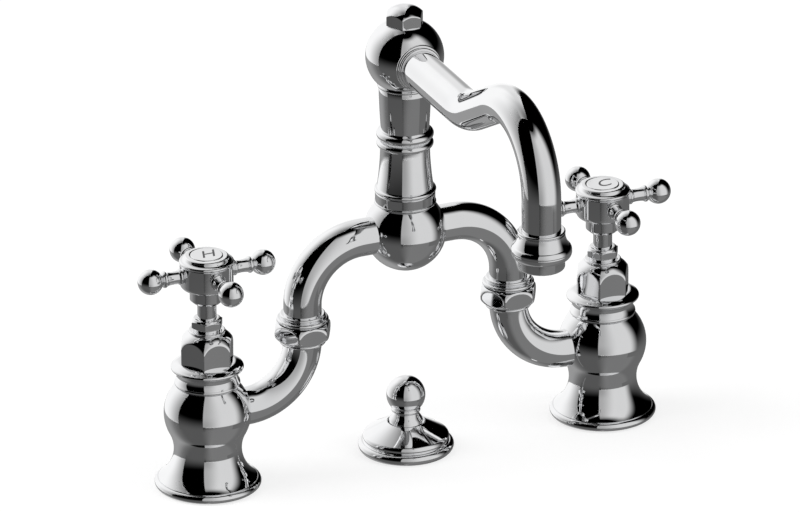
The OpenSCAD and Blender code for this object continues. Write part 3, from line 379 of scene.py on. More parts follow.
def two_tones(tree, value, first, second):
    """A colour between two, as the noise's value goes from low to high."""
    ramp = tree.nodes.new("ShaderNodeValToRGB")
    ramp.color_ramp.elements[0].position = NOISE_LOW
    ramp.color_ramp.elements[0].color = (*first, 1)
    ramp.color_ramp.elements[1].position = NOISE_HIGH
    ramp.color_ramp.elements[1].color = (*second, 1)
    tree.links.new(value, ramp.inputs["Fac"])
    return ramp.outputs["Color"]


def finish(tree, colour, roughness, relief, depth, metallic=1.0):
    """The surface itself: its colour, its roughness and a relief of the given depth in metres."""
    surface = tree.nodes.new("ShaderNodeBsdfPrincipled")
    surface.inputs["Metallic"].default_value = metallic
    tree.links.new(colour, surface.inputs["Base Color"])
    tree.links.new(roughness, surface.inputs["Roughness"])
    bump = tree.nodes.new("ShaderNodeBump")
    bump.inputs["Strength"].default_value = 1.0
    bump.inputs["Distance"].default_value = depth
    tree.links.new(relief, bump.inputs["Height"])
    tree.links.new(bump.outputs["Normal"], surface.inputs["Normal"])
    output = tree.nodes.new("ShaderNodeOutputMaterial")
    tree.links.new(surface.outputs[0], output.inputs["Surface"])


def machined_brass():
    """Brass off the lathe: fine turning marks round the piece and a dull, uneven bloom."""
    material, tree = new_tree("machined_brass")
    bloom = noise(tree, 160, 4)
    marks = noise(tree, 40, 3, (1, 1, 160))
    colour = two_tones(tree, bloom, (0.56, 0.39, 0.17), (0.74, 0.56, 0.28))
    finish(tree, colour, between(tree, bloom, 0.24, 0.42), marks, 0.00003)
    return material


def arc(centre, r, start, end, n=12):
    """Points of a circle's arc, angles in degrees."""
    turns = [radians(start + (end - start) * i / n) for i in range(n + 1)]
    return [(centre[0] + r * cos(t), centre[1] + r * sin(t)) for t in turns]


def bow(p, q, sag, n=10):
    """Points of a curve from p to q that bows out to the right by the sag."""
    chord = hypot(q[0] - p[0], q[1] - p[1])
    along = ((q[0] - p[0]) / chord, (q[1] - p[1]) / chord)
    side = 1 if sag > 0 else -1
    out = (side * along[1], -side * along[0])
    r = (chord * chord / 4 + sag * sag) / (2 * abs(sag))
    half = 2 * atan2(2 * abs(sag), chord)
    centre = [(p[k] + q[k]) / 2 - out[k] * (r - abs(sag)) for k in (0, 1)]
    turns = [half * (2 * i / n - 1) for i in range(n + 1)]
    return [tuple(centre[k] + r * (cos(t) * out[k] + sin(t) * along[k]) for k in (0, 1))
            for t in turns]


def bead(r, z, m, n=12):
    """A half-round bead of radius m whose crown is at radius r and height z."""
    return arc((r - m, z), m, -90, 90, n)


def pick(*pieces):
    """Selects these alone, the first as the active one."""
    bpy.ops.object.select_all(action="DESELECT")
    for piece in pieces:
        piece.select_set(True)
    bpy.context.view_layer.objects.active = pieces[0]


def smooth(piece, angle=32):
    """Smooth shading, but for edges sharper than the angle."""
    pick(piece)
    bpy.ops.object.shade_smooth_by_angle(angle=radians(angle))


def weld():
    """Merges points that meet and turns all faces outward."""
    bpy.ops.mesh.select_all(action="SELECT")
    bpy.ops.mesh.remove_doubles(threshold=WELD)
    bpy.ops.mesh.normals_make_consistent(inside=False)


def turned(name, outline, spot=(0, 0, 0), along=(0, 0, 1), out=(1, 0, 0), steps=96):
    """Turned on the lathe from an outline of (radius, height) points, about an axis at the spot."""
    spot, along, out = MM * Vector(spot), Vector(along), Vector(out)
    points = [spot + MM * (r * out + z * along) for r, z in outline]
    piece = one_point(name, points[0])
    for here, there in zip(points, points[1:]):
        draw_on(there - here)
    bpy.ops.mesh.select_all(action="SELECT")
    bpy.ops.mesh.spin(steps=steps, angle=2 * pi, center=spot, axis=along)
    weld()
    bpy.ops.object.mode_set(mode="OBJECT")
    smooth(piece)
    return piece


def joined(name, *parts):
    """Several meshes made one piece."""
    pick(*parts)
    bpy.ops.object.join()
    parts[0].name = name
    bpy.ops.object.select_all(action="DESELECT")
    return parts[0]


def cut_thread(name, x, core_r, crest_r, pitch, low, high):
    """A helical ridge of thread round the core that stands at x, from one height up to another."""
    turns = max(int((high - low) / pitch) - 1, 1)
    middle = low + pitch / 2
    root_r = core_r - THREAD_SUNK
    corners = [(root_r, middle - THREAD_FOOT * pitch), (crest_r, middle - THREAD_CREST * pitch),
               (crest_r, middle + THREAD_CREST * pitch), (root_r, middle + THREAD_FOOT * pitch)]
    ridge = one_point(name, (corners[0][0] * MM, 0, corners[0][1] * MM))
    for (r0, z0), (r1, z1) in zip(corners, corners[1:] + corners[:1]):
        draw_on(((r1 - r0) * MM, 0, (z1 - z0) * MM))
    bpy.ops.mesh.select_all(action="SELECT")
    bpy.ops.mesh.remove_doubles(threshold=WELD)
    bpy.ops.object.mode_set(mode="OBJECT")
    sweep = ridge.modifiers.new("helix", "SCREW")
    sweep.axis = "Z"
    sweep.angle = 2 * pi
    sweep.screw_offset = pitch * MM
    sweep.iterations = turns
    sweep.steps = THREAD_STEPS
    sweep.render_steps = THREAD_STEPS
    bpy.ops.object.modifier_apply(modifier="helix")
    edit_all()
    bpy.ops.mesh.fill_holes(sides=8)
    bpy.ops.mesh.select_all(action="SELECT")
    bpy.ops.mesh.normals_make_consistent(inside=False)
    bpy.ops.transform.translate(value=(x * MM, 0, 0))
    bpy.ops.object.mode_set(mode="OBJECT")
    smooth(ridge, 25)
    return ridge


def fitted(piece, node, body, material):
    """The piece gets its finish, stands for its CAD node and moves with a body."""
    piece.data.materials.clear()
    piece.data.materials.append(material)
    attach(piece, body)
    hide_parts(node)
    bpy.ops.object.select_all(action="DESELECT")


def mirrored(piece, name):
    """The same piece for the cold side, with its own mesh."""
    pick(piece)
    bpy.ops.object.duplicate()
    twin = bpy.context.object
    twin.name = name
    edit_all()
    bpy.ops.transform.resize(value=(-1, 1, 1), center_override=(0, 0, 0))
    bpy.ops.mesh.flip_normals()
    bpy.ops.object.mode_set(mode="OBJECT")
    bpy.ops.object.select_all(action="DESELECT")
    return twin


def both_sides(piece, word, node, bodies, material):
    """Fits the hot side's piece and its mirrored twin on the cold side."""
    twin = mirrored(piece, "cold_" + word)
    fitted(piece, "hot_" + node, bodies[0], material)
    fitted(twin, "cold_" + node, bodies[1], material)


FIXED = ("root", "root")
TURNING = ("hot_handle", "cold_handle")
brass = machined_brass()
core = turned("hot_threaded_shank", [
    (SHANK_BORE_R, SHANK_FOOT), (SHANK_CORE_R - 0.4, SHANK_FOOT), (SHANK_CORE_R, SHANK_FOOT + 0.5),
    (SHANK_CORE_R, REGISTER[0]), (REGISTER_R, REGISTER[0]), (REGISTER_R, REGISTER[1]),
    (SHANK_R, REGISTER[1]), (SHANK_R, SHANK_HEAD), (SHANK_BORE_R, SHANK_HEAD),
    (SHANK_BORE_R, SHANK_FOOT)
], HOT_AXIS)
pipe_thread = (-HALF_SPAN, SHANK_CORE_R, SHANK_R, PIPE_PITCH)
tail = cut_thread("tail", *pipe_thread, SHANK_FOOT + 0.2, GROOVE[0])
upper = cut_thread("upper", *pipe_thread, GROOVE[1], REGISTER[0])
shank = joined("hot_threaded_shank", core, tail, upper)
both_sides(shank, "threaded_shank", "shank", FIXED, brass)


# Seals and clamps at the deck: a rubber gasket in each base's recess, and under the deck
# a red fibre washer and a brass back nut, six flats wide, that draw the pillar down.
BACK_NUT_R = 17.5
BACK_NUT = (-34.5, -27.5)
HEX_SOFT = 0.35
CORNER_BLEND = 0.012
CORNER_BITE = 8
NO_END = 1000


def matt_rubber():
    """Black moulded rubber, finely pitted."""
    material, tree = new_tree("matt_rubber")
    pits = noise(tree, 2600, 3)
    haze = noise(tree, 240, 2)
    finish(tree, two_tones(tree, haze, (0.018, 0.018, 0.019), (0.04, 0.04, 0.042)),
           between(tree, haze, 0.62, 0.8), pits, 0.00002, 0.0)
    return material


def red_fibre():
    """Vulcanised fibre board: dull red, with short pressed fibres."""
    material, tree = new_tree("red_fibre")
    strands = noise(tree, 900, 5, (1, 0.2, 1))
    haze = noise(tree, 200, 3)
    finish(tree, two_tones(tree, haze, (0.34, 0.055, 0.035), (0.5, 0.1, 0.06)),
           between(tree, strands, 0.6, 0.85), strands, 0.00003, 0.0)
    return material


def in_finish(material, *names):
    """CAD nodes whose shape is right keep it and get this finish."""
    for name in names:
        node = nodes[name]
        node.data.materials.clear()
        node.data.materials.append(material)


def under_deck(*below):
    """The deck would hide these from the mirrors above it."""
    for piece in below:
        piece.visible_glossy = False


def flat_of(corner_r):
    """How far a hexagon's flats are from its middle."""
    return corner_r * cos(radians(30))


def six_flats(piece, corner_r, spot=(0, 0), soft=HEX_SOFT, only=(-NO_END, NO_END)):
    """Files six flats on a turned piece, corners on the X axis, every edge a little rounded."""
    flat_r = flat_of(corner_r)
    for vertex in piece.data.vertices:
        x = vertex.co.x / MM - spot[0]
        y = vertex.co.y / MM - spot[1]
        r = hypot(x, y)
        if r < 1 or not only[0] <= vertex.co.z / MM <= only[1]:
            continue
        slant = (degrees(atan2(y, x)) % 60) - 30
        near = cos(radians(slant))
        next_one = cos(radians(60 - abs(slant)))
        blend = max(CORNER_BLEND * soft / HEX_SOFT - (near - next_one), 0)
        reach = flat_r / (near + blend * blend * CORNER_BITE)
        blend = max(soft - abs(r - reach), 0) / soft
        kept = min(r, reach) - blend * blend * soft / 4
        vertex.co.x = (spot[0] + x * kept / r) * MM
        vertex.co.y = (spot[1] + y * kept / r) * MM


def steps_between(p, q, n):
    """Points on a straight line, both ends in."""
    return [(p[0] + (q[0] - p[0]) * i / n, p[1] + (q[1] - p[1]) * i / n) for i in range(n + 1)]


rubber = matt_rubber()
fibre = red_fibre()
in_finish(rubber, "hot_deck_gasket", "cold_deck_gasket")
in_finish(fibre, "hot_clamp_washer", "cold_clamp_washer")
flat = flat_of(BACK_NUT_R)
nut = turned("hot_hex_back_nut", [
    (SHANK_R + SLIP, BACK_NUT[0]), (flat, BACK_NUT[0]),
    *steps_between((flat + 0.1, BACK_NUT[0]), (BACK_NUT_R, BACK_NUT[0] + 1), 6),
    *steps_between((BACK_NUT_R, BACK_NUT[1] - 1), (flat + 0.1, BACK_NUT[1]), 6),
    (flat, BACK_NUT[1]), (SHANK_R + SLIP, BACK_NUT[1]), (SHANK_R + SLIP, BACK_NUT[0])
], HOT_AXIS, steps=192)
six_flats(nut, BACK_NUT_R, HOT_AXIS)
both_sides(nut, "hex_back_nut", "back_nut", FIXED, brass)
for side in ("hot", "cold"):
    under_deck(bpy.data.objects[side + "_threaded_shank"], bpy.data.objects[side + "_hex_back_nut"],
               nodes[side + "_clamp_washer"], nodes[side + "_deck_gasket"])


# Pillars: brass castings, turned all over, polished and chromed.
# A rolled rim, a flaring bell, a belly that takes the bridge's pipe, a beaded neck
# and a lipped flange.
BASE_R = 25.1
RIM_H = 4.0
GASKET_R = 22.7
WAIST = (16.0, 18.7)
BELLY = (20.6, 37.1)
SHOULDER_TURN = radians(37)
SHOULDER_STEPS = 22
BEAD_R = 15.5
BEAD_Z = 52.4
BEAD_M = 1.1
NECK_R = 14.25
NECK_Z = 56.4
LOW_COVE_R = 5.05
HIGH_COVE_R = 3.35
FLANGE_R = 17.2
PILLAR_H = 63.1
MOUTH_R = 13.0
CHAMBER_R = 11.5
SEAT_Z = 27.0


def polished_chrome():
    """Chrome plate buffed to a mirror: the faintest ripple and wipe marks, no lines."""
    material, tree = new_tree("polished_chrome")
    wipe = noise(tree, 55, 3, (1, 1, 0.4))
    ripple = noise(tree, 210, 2)
    finish(tree, two_tones(tree, wipe, (0.9, 0.905, 0.915), (0.94, 0.942, 0.948)),
           between(tree, wipe, 0.018, 0.05), ripple, 0.0000012)
    return material


chrome = polished_chrome()
lip = (BASE_R - 1.8, RIM_H + 0.3)
cove_in = lip[0] - WAIST[0]
cove_up = WAIST[1] - lip[1]
cove_r = (cove_in ** 2 + cove_up ** 2) / (2 * cove_in)
cove = (WAIST[0] + cove_r, WAIST[1])
swell_in = cove[0] - BELLY[0]
swell_up = BELLY[1] - WAIST[1]
belly_arc_r = (swell_in ** 2 + swell_up ** 2 - cove_r ** 2) / (2 * (cove_r - swell_in))
belly = (BELLY[0] - belly_arc_r, BELLY[1])
meet = degrees(atan2(swell_up, belly[0] - cove[0]))
top_of_belly = BEAD_Z - BEAD_M - 0.1
shoulder = []
for i in range(1, SHOULDER_STEPS + 1):
    t = SHOULDER_TURN * i / SHOULDER_STEPS
    shoulder.append((BELLY[0] - (BELLY[0] - BEAD_R + 0.5) * (1 - cos(t)) / (1 - cos(SHOULDER_TURN)),
                     BELLY[1] + (top_of_belly - BELLY[1]) * sin(t) / sin(SHOULDER_TURN)))
pillar = turned("hot_cast_pillar", [
    *bead(BASE_R, RIM_H / 2, RIM_H / 2, 16),
    *arc(cove, cove_r, 180 + degrees(atan2(cove_up, cove[0] - lip[0])), meet, 28),
    *arc(belly, belly_arc_r, meet - 180, 0, 20)[1:],
    *shoulder,
    *arc((BEAD_R - BEAD_M, BEAD_Z), BEAD_M, -90, 50, 12),
    *arc((NECK_R + LOW_COVE_R, NECK_Z), LOW_COVE_R, 218, 180, 12),
    *arc((NECK_R + HIGH_COVE_R, NECK_Z), HIGH_COVE_R, 179, 121, 14),
    *bow((FLANGE_R - 0.7, PILLAR_H - 3.6), (FLANGE_R - 0.7, PILLAR_H - 1.7), 0.7, 12),
    *bow((FLANGE_R - 0.9, PILLAR_H - 1.6), (MOUTH_R, PILLAR_H), 0.2, 6),
    (CHAMBER_R, PILLAR_H), (CHAMBER_R, SEAT_Z), (SHANK_BORE_R, SEAT_Z), (SHANK_BORE_R, SHANK_HEAD),
    (SHANK_R + SLIP, SHANK_HEAD), (SHANK_R + SLIP, REGISTER[1]), (GASKET_R, REGISTER[1]),
    (GASKET_R, 0), (BASE_R - RIM_H / 2, 0)
], HOT_AXIS, steps=128)
both_sides(pillar, "cast_pillar", "pillar", FIXED, chrome)


# Quarter-turn valves inside the pillars: a rubber seat, two lapped ceramic discs and a brass
# cartridge. They never show, but they are there for whoever takes the mixer apart.
def lapped_ceramic():
    """White alumina, lapped flat, with a fine grain."""
    material, tree = new_tree("lapped_ceramic")
    grain = noise(tree, 3200, 2)
    haze = noise(tree, 300, 2)
    finish(tree, two_tones(tree, haze, (0.8, 0.8, 0.78), (0.88, 0.88, 0.86)),
           between(tree, grain, 0.18, 0.34), grain, 0.000004, 0.0)
    return material


ceramic = lapped_ceramic()
for side in ("hot", "cold"):
    in_finish(rubber, side + "_seat_seal", side + "_spindle_seals")
    in_finish(ceramic, side + "_fixed_disc", side + "_moving_disc")
    in_finish(brass, side + "_cartridge_body")


# Valve bonnets: chromed brass hexagons that screw into the pillars.
# Their flats run up into a dome, so each ends in an arch, and a small ring crowns the dome.
# Heights are from the pillar's top.
BONNET_R = 13.4
BONNET_H = 16.3
CROWN_R = 8.7
SCREWED_R = 11.45
SCREWED_END = -16.1
LOWER_BORE_R = 8.7
LUG_POCKET_R = 6.3
LUG_POCKET = (-12.2, -6.8)
STEM_BORE_R = 4.56
GLAND_POCKET_R = 6.25
GLAND_POCKET_Z = BONNET_H - 5.5
bonnet = turned("hot_hex_bonnet", [
    (LOWER_BORE_R, SCREWED_END), (SCREWED_R, SCREWED_END), (SCREWED_R, 0), (CHAMBER_R, 0),
    *steps_between((BONNET_R - 0.15, 0), (BONNET_R, 0.15), 2),
    *steps_between((BONNET_R, 0.4), (BONNET_R, 4.9), 9),
    *bow((BONNET_R, BONNET_H - 11.1), (CROWN_R - 0.2, BONNET_H - 1.2), 1.75, 44),
    *bead(CROWN_R, BONNET_H - 0.6, 0.6, 10),
    (GLAND_POCKET_R, BONNET_H), (GLAND_POCKET_R, GLAND_POCKET_Z), (STEM_BORE_R, GLAND_POCKET_Z),
    (STEM_BORE_R, LUG_POCKET[1]), (LUG_POCKET_R, LUG_POCKET[1]), (LUG_POCKET_R, LUG_POCKET[0]),
    (LOWER_BORE_R, LUG_POCKET[0]), (LOWER_BORE_R, SCREWED_END)
], (-HALF_SPAN, 0, PILLAR_H), steps=240)
six_flats(bonnet, BONNET_R, HOT_AXIS, 0.3, (PILLAR_H, NO_END))
both_sides(bonnet, "hex_bonnet", "bonnet", FIXED, chrome)


# Gland nuts: small chromed hexagons, washer-faced on top, that press the packing round the stems.
# The stems themselves are plain bright rods up into the handles.
GLAND_R = 7.9
GLAND_Z = 80.7
GLAND_H = 4.7
GLAND_FACE_R = 6.04
GLAND_TAIL_R = 6.2
GLAND_TAIL_END = 76.1
flat = flat_of(GLAND_R)
gland = turned("hot_hex_gland", [
    (STEM_BORE_R, GLAND_TAIL_END), (GLAND_TAIL_R, GLAND_TAIL_END), (GLAND_TAIL_R, GLAND_Z),
    (flat - 0.1, GLAND_Z), *steps_between((flat, GLAND_Z), (GLAND_R, GLAND_Z + 0.5), 4),
    *steps_between((GLAND_R, GLAND_Z + 3.2), (flat, GLAND_Z + 3.7), 4),
    *bow((flat - 0.1, GLAND_Z + 3.8), (GLAND_FACE_R, GLAND_Z + GLAND_H), 0.15, 5),
    (STEM_BORE_R, GLAND_Z + GLAND_H), (STEM_BORE_R, GLAND_TAIL_END)
], HOT_AXIS, steps=192)
six_flats(gland, GLAND_R, HOT_AXIS, 0.25)
both_sides(gland, "hex_gland", "gland_nut", FIXED, chrome)
in_finish(chrome, "hot_spindle", "cold_spindle")


# Lower elbows: chromed brass tubes that leave the bellies level, turn up and end in a flange
# in the union.
PIPE_R = 9.0
PIPE_BORE_R = 7.0
BEND_R = 29.0
BEND_STEPS = 40
PIPE_Z = 36.5
SOCKET_X = 15.0
PIPE_RUN = 19.8
UNION_X = PIPE_RUN + BEND_R
UNION_Z = 69.5
FACE_GAP = 0.75
UNION_FLANGE_R = 10.4
UNION_FLANGE_LOW = 66.55


def tube_start(name, r, spot, turn, sides=64):
    """A ring of points that faces the way the tube will run, left in edit mode."""
    spot = MM * Vector(spot)
    bpy.ops.mesh.primitive_circle_add(vertices=sides, radius=r * MM, location=spot, rotation=turn)
    tube = bpy.context.object
    tube.name = name
    bpy.ops.object.transform_apply(location=True, rotation=True)
    edit_all()
    return tube


def run_on(way, length, pieces=1):
    """Draws the tube straight on."""
    step = MM * length / pieces * Vector(way)
    for _ in range(pieces):
        draw_on(step)


def bend_on(centre, axis, angle, steps):
    """Draws the tube on round a bend."""
    bpy.ops.mesh.spin(steps=steps, angle=-radians(angle), center=MM * Vector(centre), axis=axis)


def walled(tube, wall):
    """Gives the drawn tube its wall, inward."""
    weld()
    bpy.ops.object.mode_set(mode="OBJECT")
    skin = tube.modifiers.new("wall", "SOLIDIFY")
    skin.thickness = wall * MM
    skin.offset = -1
    bpy.ops.object.modifier_apply(modifier="wall")
    smooth(tube)


start_x = SOCKET_X - HALF_SPAN
bend_x = PIPE_RUN - HALF_SPAN
union_x = UNION_X - HALF_SPAN
tube = tube_start("bent_tube", PIPE_R, (start_x, 0, PIPE_Z), (0, radians(90), 0))
run_on((1, 0, 0), PIPE_RUN - SOCKET_X)
bend_on((bend_x, 0, PIPE_Z + BEND_R), (0, 1, 0), -90, BEND_STEPS)
run_on((0, 0, 1), UNION_Z - FACE_GAP - PIPE_Z - BEND_R)
walled(tube, PIPE_R - PIPE_BORE_R)
flange = turned("flange", [
    (PIPE_BORE_R, UNION_FLANGE_LOW), (UNION_FLANGE_R, UNION_FLANGE_LOW),
    (UNION_FLANGE_R, UNION_Z - FACE_GAP), (PIPE_BORE_R, UNION_Z - FACE_GAP),
    (PIPE_BORE_R, UNION_FLANGE_LOW)
], (union_x, 0, 0))
elbow = joined("hot_rising_elbow", tube, flange)
both_sides(elbow, "rising_elbow", "lower_elbow", FIXED, chrome)


# Union nuts: chromed hexagons with rounded ends over a beaded ring, which draw the elbows'
# faces together, with a fibre washer between.
NUT_R = 14.4
NUT_LOW = 64.0
NUT_TOP = 74.8
NUT_HOLE_R = PIPE_R + 0.5
NUT_THREAD_R = PIPE_R + 1.6
RING_H = 1.6
flat = flat_of(NUT_R)
low = NUT_LOW + RING_H
middle = (NUT_TOP - low) / 2
nut = turned("hot_union_hexagon", [
    (NUT_HOLE_R, NUT_LOW), *bead(PIPE_R + 1.9, NUT_LOW + RING_H / 2, RING_H / 2, 12),
    *bow((flat - 1.4, low + 0.05), (NUT_R, low + middle - 0.6), 0.5, 16),
    *bow((NUT_R, low + middle + 0.6), (flat - 0.4, NUT_TOP), 0.5, 16),
    (NUT_THREAD_R, NUT_TOP), (NUT_THREAD_R, UNION_FLANGE_LOW), (NUT_HOLE_R, UNION_FLANGE_LOW),
    (NUT_HOLE_R, NUT_LOW)
], (union_x, 0, 0), steps=192)
six_flats(nut, NUT_R, (union_x, 0), 0.4, (low, NUT_TOP))
both_sides(nut, "union_hexagon", "union_nut", FIXED, chrome)
in_finish(fibre, "hot_union_washer", "cold_union_washer")


# Upper elbows: chromed tubes with a threaded tail and a double collar, which turn over
# into the ball.
BALL_Z = 112.0
BALL_R = 19.4
BALL_SOCKET = 14.1
TAIL_R = 10.55
SLEEVE_R = 8.0
collar_z = NUT_TOP + 0.3
foot_z = UNION_Z + FACE_GAP
tube = tube_start("bent_tube", PIPE_R, (union_x, 0, foot_z), (0, 0, 0))
run_on((0, 0, 1), BALL_Z - BEND_R - foot_z)
bend_on((union_x + BEND_R, 0, BALL_Z - BEND_R), (0, 1, 0), 90, BEND_STEPS)
run_on((1, 0, 0), HALF_SPAN - UNION_X - BEND_R - BALL_SOCKET)
walled(tube, PIPE_R - PIPE_BORE_R)
collar = turned("double_collar", [
    (SLEEVE_R, foot_z), (TAIL_R, foot_z), (TAIL_R, collar_z),
    *bead(12.3, collar_z + 1, 1, 14), (10.2, collar_z + 2.3), *bead(10.8, collar_z + 3.2, 0.8, 14),
    (SLEEVE_R, collar_z + 4), (SLEEVE_R, foot_z)
], (union_x, 0, 0))
elbow = joined("hot_bridge_elbow", tube, collar)
both_sides(elbow, "bridge_elbow", "upper_elbow", FIXED, chrome)


# Bridge ball: the chromed casting where both elbows meet, with the collar that takes
# the column's thread. Heights are from the ball's middle.
BALL_END_R = 13.83
COLLAR_R = 14.2
COLLAR_H = 20.3
THREAD_BORE_R = 10.55
THREAD_BORE_END = 12
WATER_R = 8.0
ball_end = degrees(asin(BALL_END_R / BALL_R))
ball = turned("bridge_ball", [
    *arc((0, 0), BALL_R, -90, ball_end, 64), (13.6, 14.3),
    *bead(COLLAR_R + 0.4, COLLAR_H - 5.4, 0.5, 10),
    (COLLAR_R, 15.5), (COLLAR_R, COLLAR_H - 0.5), (COLLAR_R - 0.5, COLLAR_H),
    (THREAD_BORE_R, COLLAR_H), (THREAD_BORE_R, THREAD_BORE_END), (WATER_R, THREAD_BORE_END),
    (WATER_R, 0), (0, 0)
], (0, 0, BALL_Z), steps=128)
fitted(ball, "centre_body", "root", chrome)


# Column: a tapered chromed tube, beaded at its foot, with the swivel joint's lower ring on top.
# The brass spigot that the head turns on, its two ring seals and the slip washer are inside.
# Heights are from the column's foot.
COLUMN_Z = 132.3
COLUMN_H = 26.3
COLUMN_TAIL_R = 10.5
COLUMN_TAIL_END = -8
SPIGOT_BORE_R = 9.45
SPIGOT_SEAT = 12.3
column = turned("tapered_column", [
    *bead(14.6, 1, 1, 14), (13.1, 2.3),
    *bow((13.3, 2.6), (11.7, COLUMN_H - 3.6), -0.35, 14),
    *bow((12.3, COLUMN_H - 3.4), (12.0, COLUMN_H), 1.3, 16),
    (SPIGOT_BORE_R, COLUMN_H), (SPIGOT_BORE_R, SPIGOT_SEAT), (WATER_R, SPIGOT_SEAT),
    (WATER_R, COLUMN_TAIL_END), (COLUMN_TAIL_R, COLUMN_TAIL_END), (COLUMN_TAIL_R, 0), (13.6, 0)
], (0, 0, COLUMN_Z))
fitted(column, "column", "root", chrome)
in_finish(brass, "swivel_spigot")
in_finish(rubber, "swivel_orings")


def white_acetal():
    """Moulded slip washers and the aerator's insert: pale, a little glossy, faintly uneven."""
    material, tree = new_tree("white_acetal")
    haze = noise(tree, 420, 3)
    finish(tree, two_tones(tree, haze, (0.66, 0.67, 0.68), (0.76, 0.77, 0.78)),
           between(tree, haze, 0.3, 0.45), haze, 0.00001, 0.0)
    return material


acetal = white_acetal()
in_finish(acetal, "swivel_washer")


# Spout head: a chromed casting that turns on the column: the upper ring, a waisted neck and
# a ball, with a ringed boss for the spout. A steel grub screw at its back limits the swing.
# The head's heights are from its foot, the boss's from the ball's middle.
HEAD_FOOT = 159.4
HEAD_Z = 200.8
HEAD_R = 18.5
HEAD_NECK_R = 12.57
HEAD_BORE_R = 8.46
HEAD_BORE_END = 33.7
CAP_POCKET_R = 6.05
CAP_POCKET_UP = 9
SEAT_UP = 16.4
BOSS_IN = 12.2
BOSS_OUT = 19.2
SPOUT_R = 9.2
up = HEAD_Z - HEAD_FOOT
crease = -degrees(acos(HEAD_NECK_R / HEAD_R))
seat = degrees(asin(SEAT_UP / HEAD_R))
head = turned("swivel_head", [
    (0, HEAD_BORE_END), (HEAD_BORE_R, HEAD_BORE_END), (HEAD_BORE_R, 0),
    *bow((11.9, 0), (12.0, 4.1), 1.6, 18), (11.7, 4.6),
    *bow((11.4, 4.9), (12.3, up - 16), 0.15, 10),
    *arc((12.1, up - 14.35), 0.9, -90, 58, 12),
    *arc((0, up), HEAD_R, crease, seat, 60),
    (CAP_POCKET_R, up + SEAT_UP), (CAP_POCKET_R, up + CAP_POCKET_UP), (0, up + CAP_POCKET_UP)
], (0, 0, HEAD_FOOT), steps=128)
boss = turned("spout_boss", [
    (SPOUT_R + 1.3, BOSS_IN), *bead(SPOUT_R + 2.2, BOSS_OUT - 2.9, 0.9, 14),
    (SPOUT_R + 0.9, BOSS_OUT - 1.9),
    *bow((SPOUT_R + 1, BOSS_OUT - 1.7), (SPOUT_R + 0.6, BOSS_OUT - 0.3), 0.5, 10),
    (SPOUT_R + SLIP, BOSS_OUT - 0.3), (SPOUT_R + SLIP, BOSS_IN), (SPOUT_R + 1.3, BOSS_IN)
], (0, 0, HEAD_Z), along=(0, -1, 0))
head = joined("swivel_head", head, boss)
fitted(head, "spout_head", "spout", chrome)


def turned_steel():
    """Plain steel screws: grey, with fine marks of the tool."""
    material, tree = new_tree("turned_steel")
    marks = noise(tree, 1500, 3)
    haze = noise(tree, 300, 2)
    finish(tree, two_tones(tree, haze, (0.5, 0.51, 0.53), (0.62, 0.63, 0.65)),
           between(tree, haze, 0.25, 0.4), marks, 0.000008)
    return material


steel = turned_steel()
in_finish(steel, "swivel_screw")


# Head cap: a small chromed hexagon with a domed top, screwed into the ball.
# Its foot is a little below the ball's cut top, so that it starts on the ball's curve.
CAP_R = 9.4
CAP_H = 9.0
CAP_FOOT = -0.8
CAP_STUD_R = 6.0
CAP_STUD_END = -6
flat = flat_of(CAP_R)
cap = turned("domed_hex_cap", [
    (0, CAP_STUD_END), (CAP_STUD_R, CAP_STUD_END), (CAP_STUD_R, CAP_FOOT), (flat - 0.7, CAP_FOOT),
    *steps_between((flat - 0.6, -0.75), (CAP_R, 0.2), 6),
    *steps_between((CAP_R, 0.5), (CAP_R, 4.4), 7),
    *bow((CAP_R, 4.6), (0.0, CAP_H), 1.25, 44)
], (0, 0, HEAD_Z + SEAT_UP), steps=240)
six_flats(cap, CAP_R, (0, 0), 0.12, (HEAD_Z + SEAT_UP + CAP_FOOT, NO_END))
fitted(cap, "head_cap", "spout", chrome)


# Swan neck: one length of chromed brass tube, bent up and over, brazed into the head's boss.
# Its line is made of straights and arcs that stay tangent.
REACH = 156.2
RISE = 28.5
SWEEP_R = 36.0
RISE_LEN = 27.5
CROOK_R = 33.3
SPOUT_BORE_R = 7.7
TUBE_START = 12.3
TUBE_END = 167.9
rise = radians(RISE)
spout_run = REACH - SWEEP_R * sin(rise) - RISE_LEN * cos(rise) - CROOK_R * (1 + sin(rise))
crook_z = HEAD_Z + SWEEP_R * (1 - cos(rise)) + RISE_LEN * sin(rise) - CROOK_R * cos(rise)
neck = tube_start("swan_neck", SPOUT_R, (0, -TUBE_START, HEAD_Z), (radians(90), 0, 0), 96)
run_on((0, -1, 0), spout_run - TUBE_START, 12)
bend_on((0, -spout_run, HEAD_Z + SWEEP_R), (1, 0, 0), -RISE, 24)
run_on((0, -cos(rise), sin(rise)), RISE_LEN, 6)
bend_on((0, -(REACH - CROOK_R), crook_z), (1, 0, 0), 90 + RISE, 96)
run_on((0, 0, -1), crook_z - TUBE_END, 6)
walled(neck, SPOUT_R - SPOUT_BORE_R)
fitted(neck, "spout_tube", "spout", chrome)


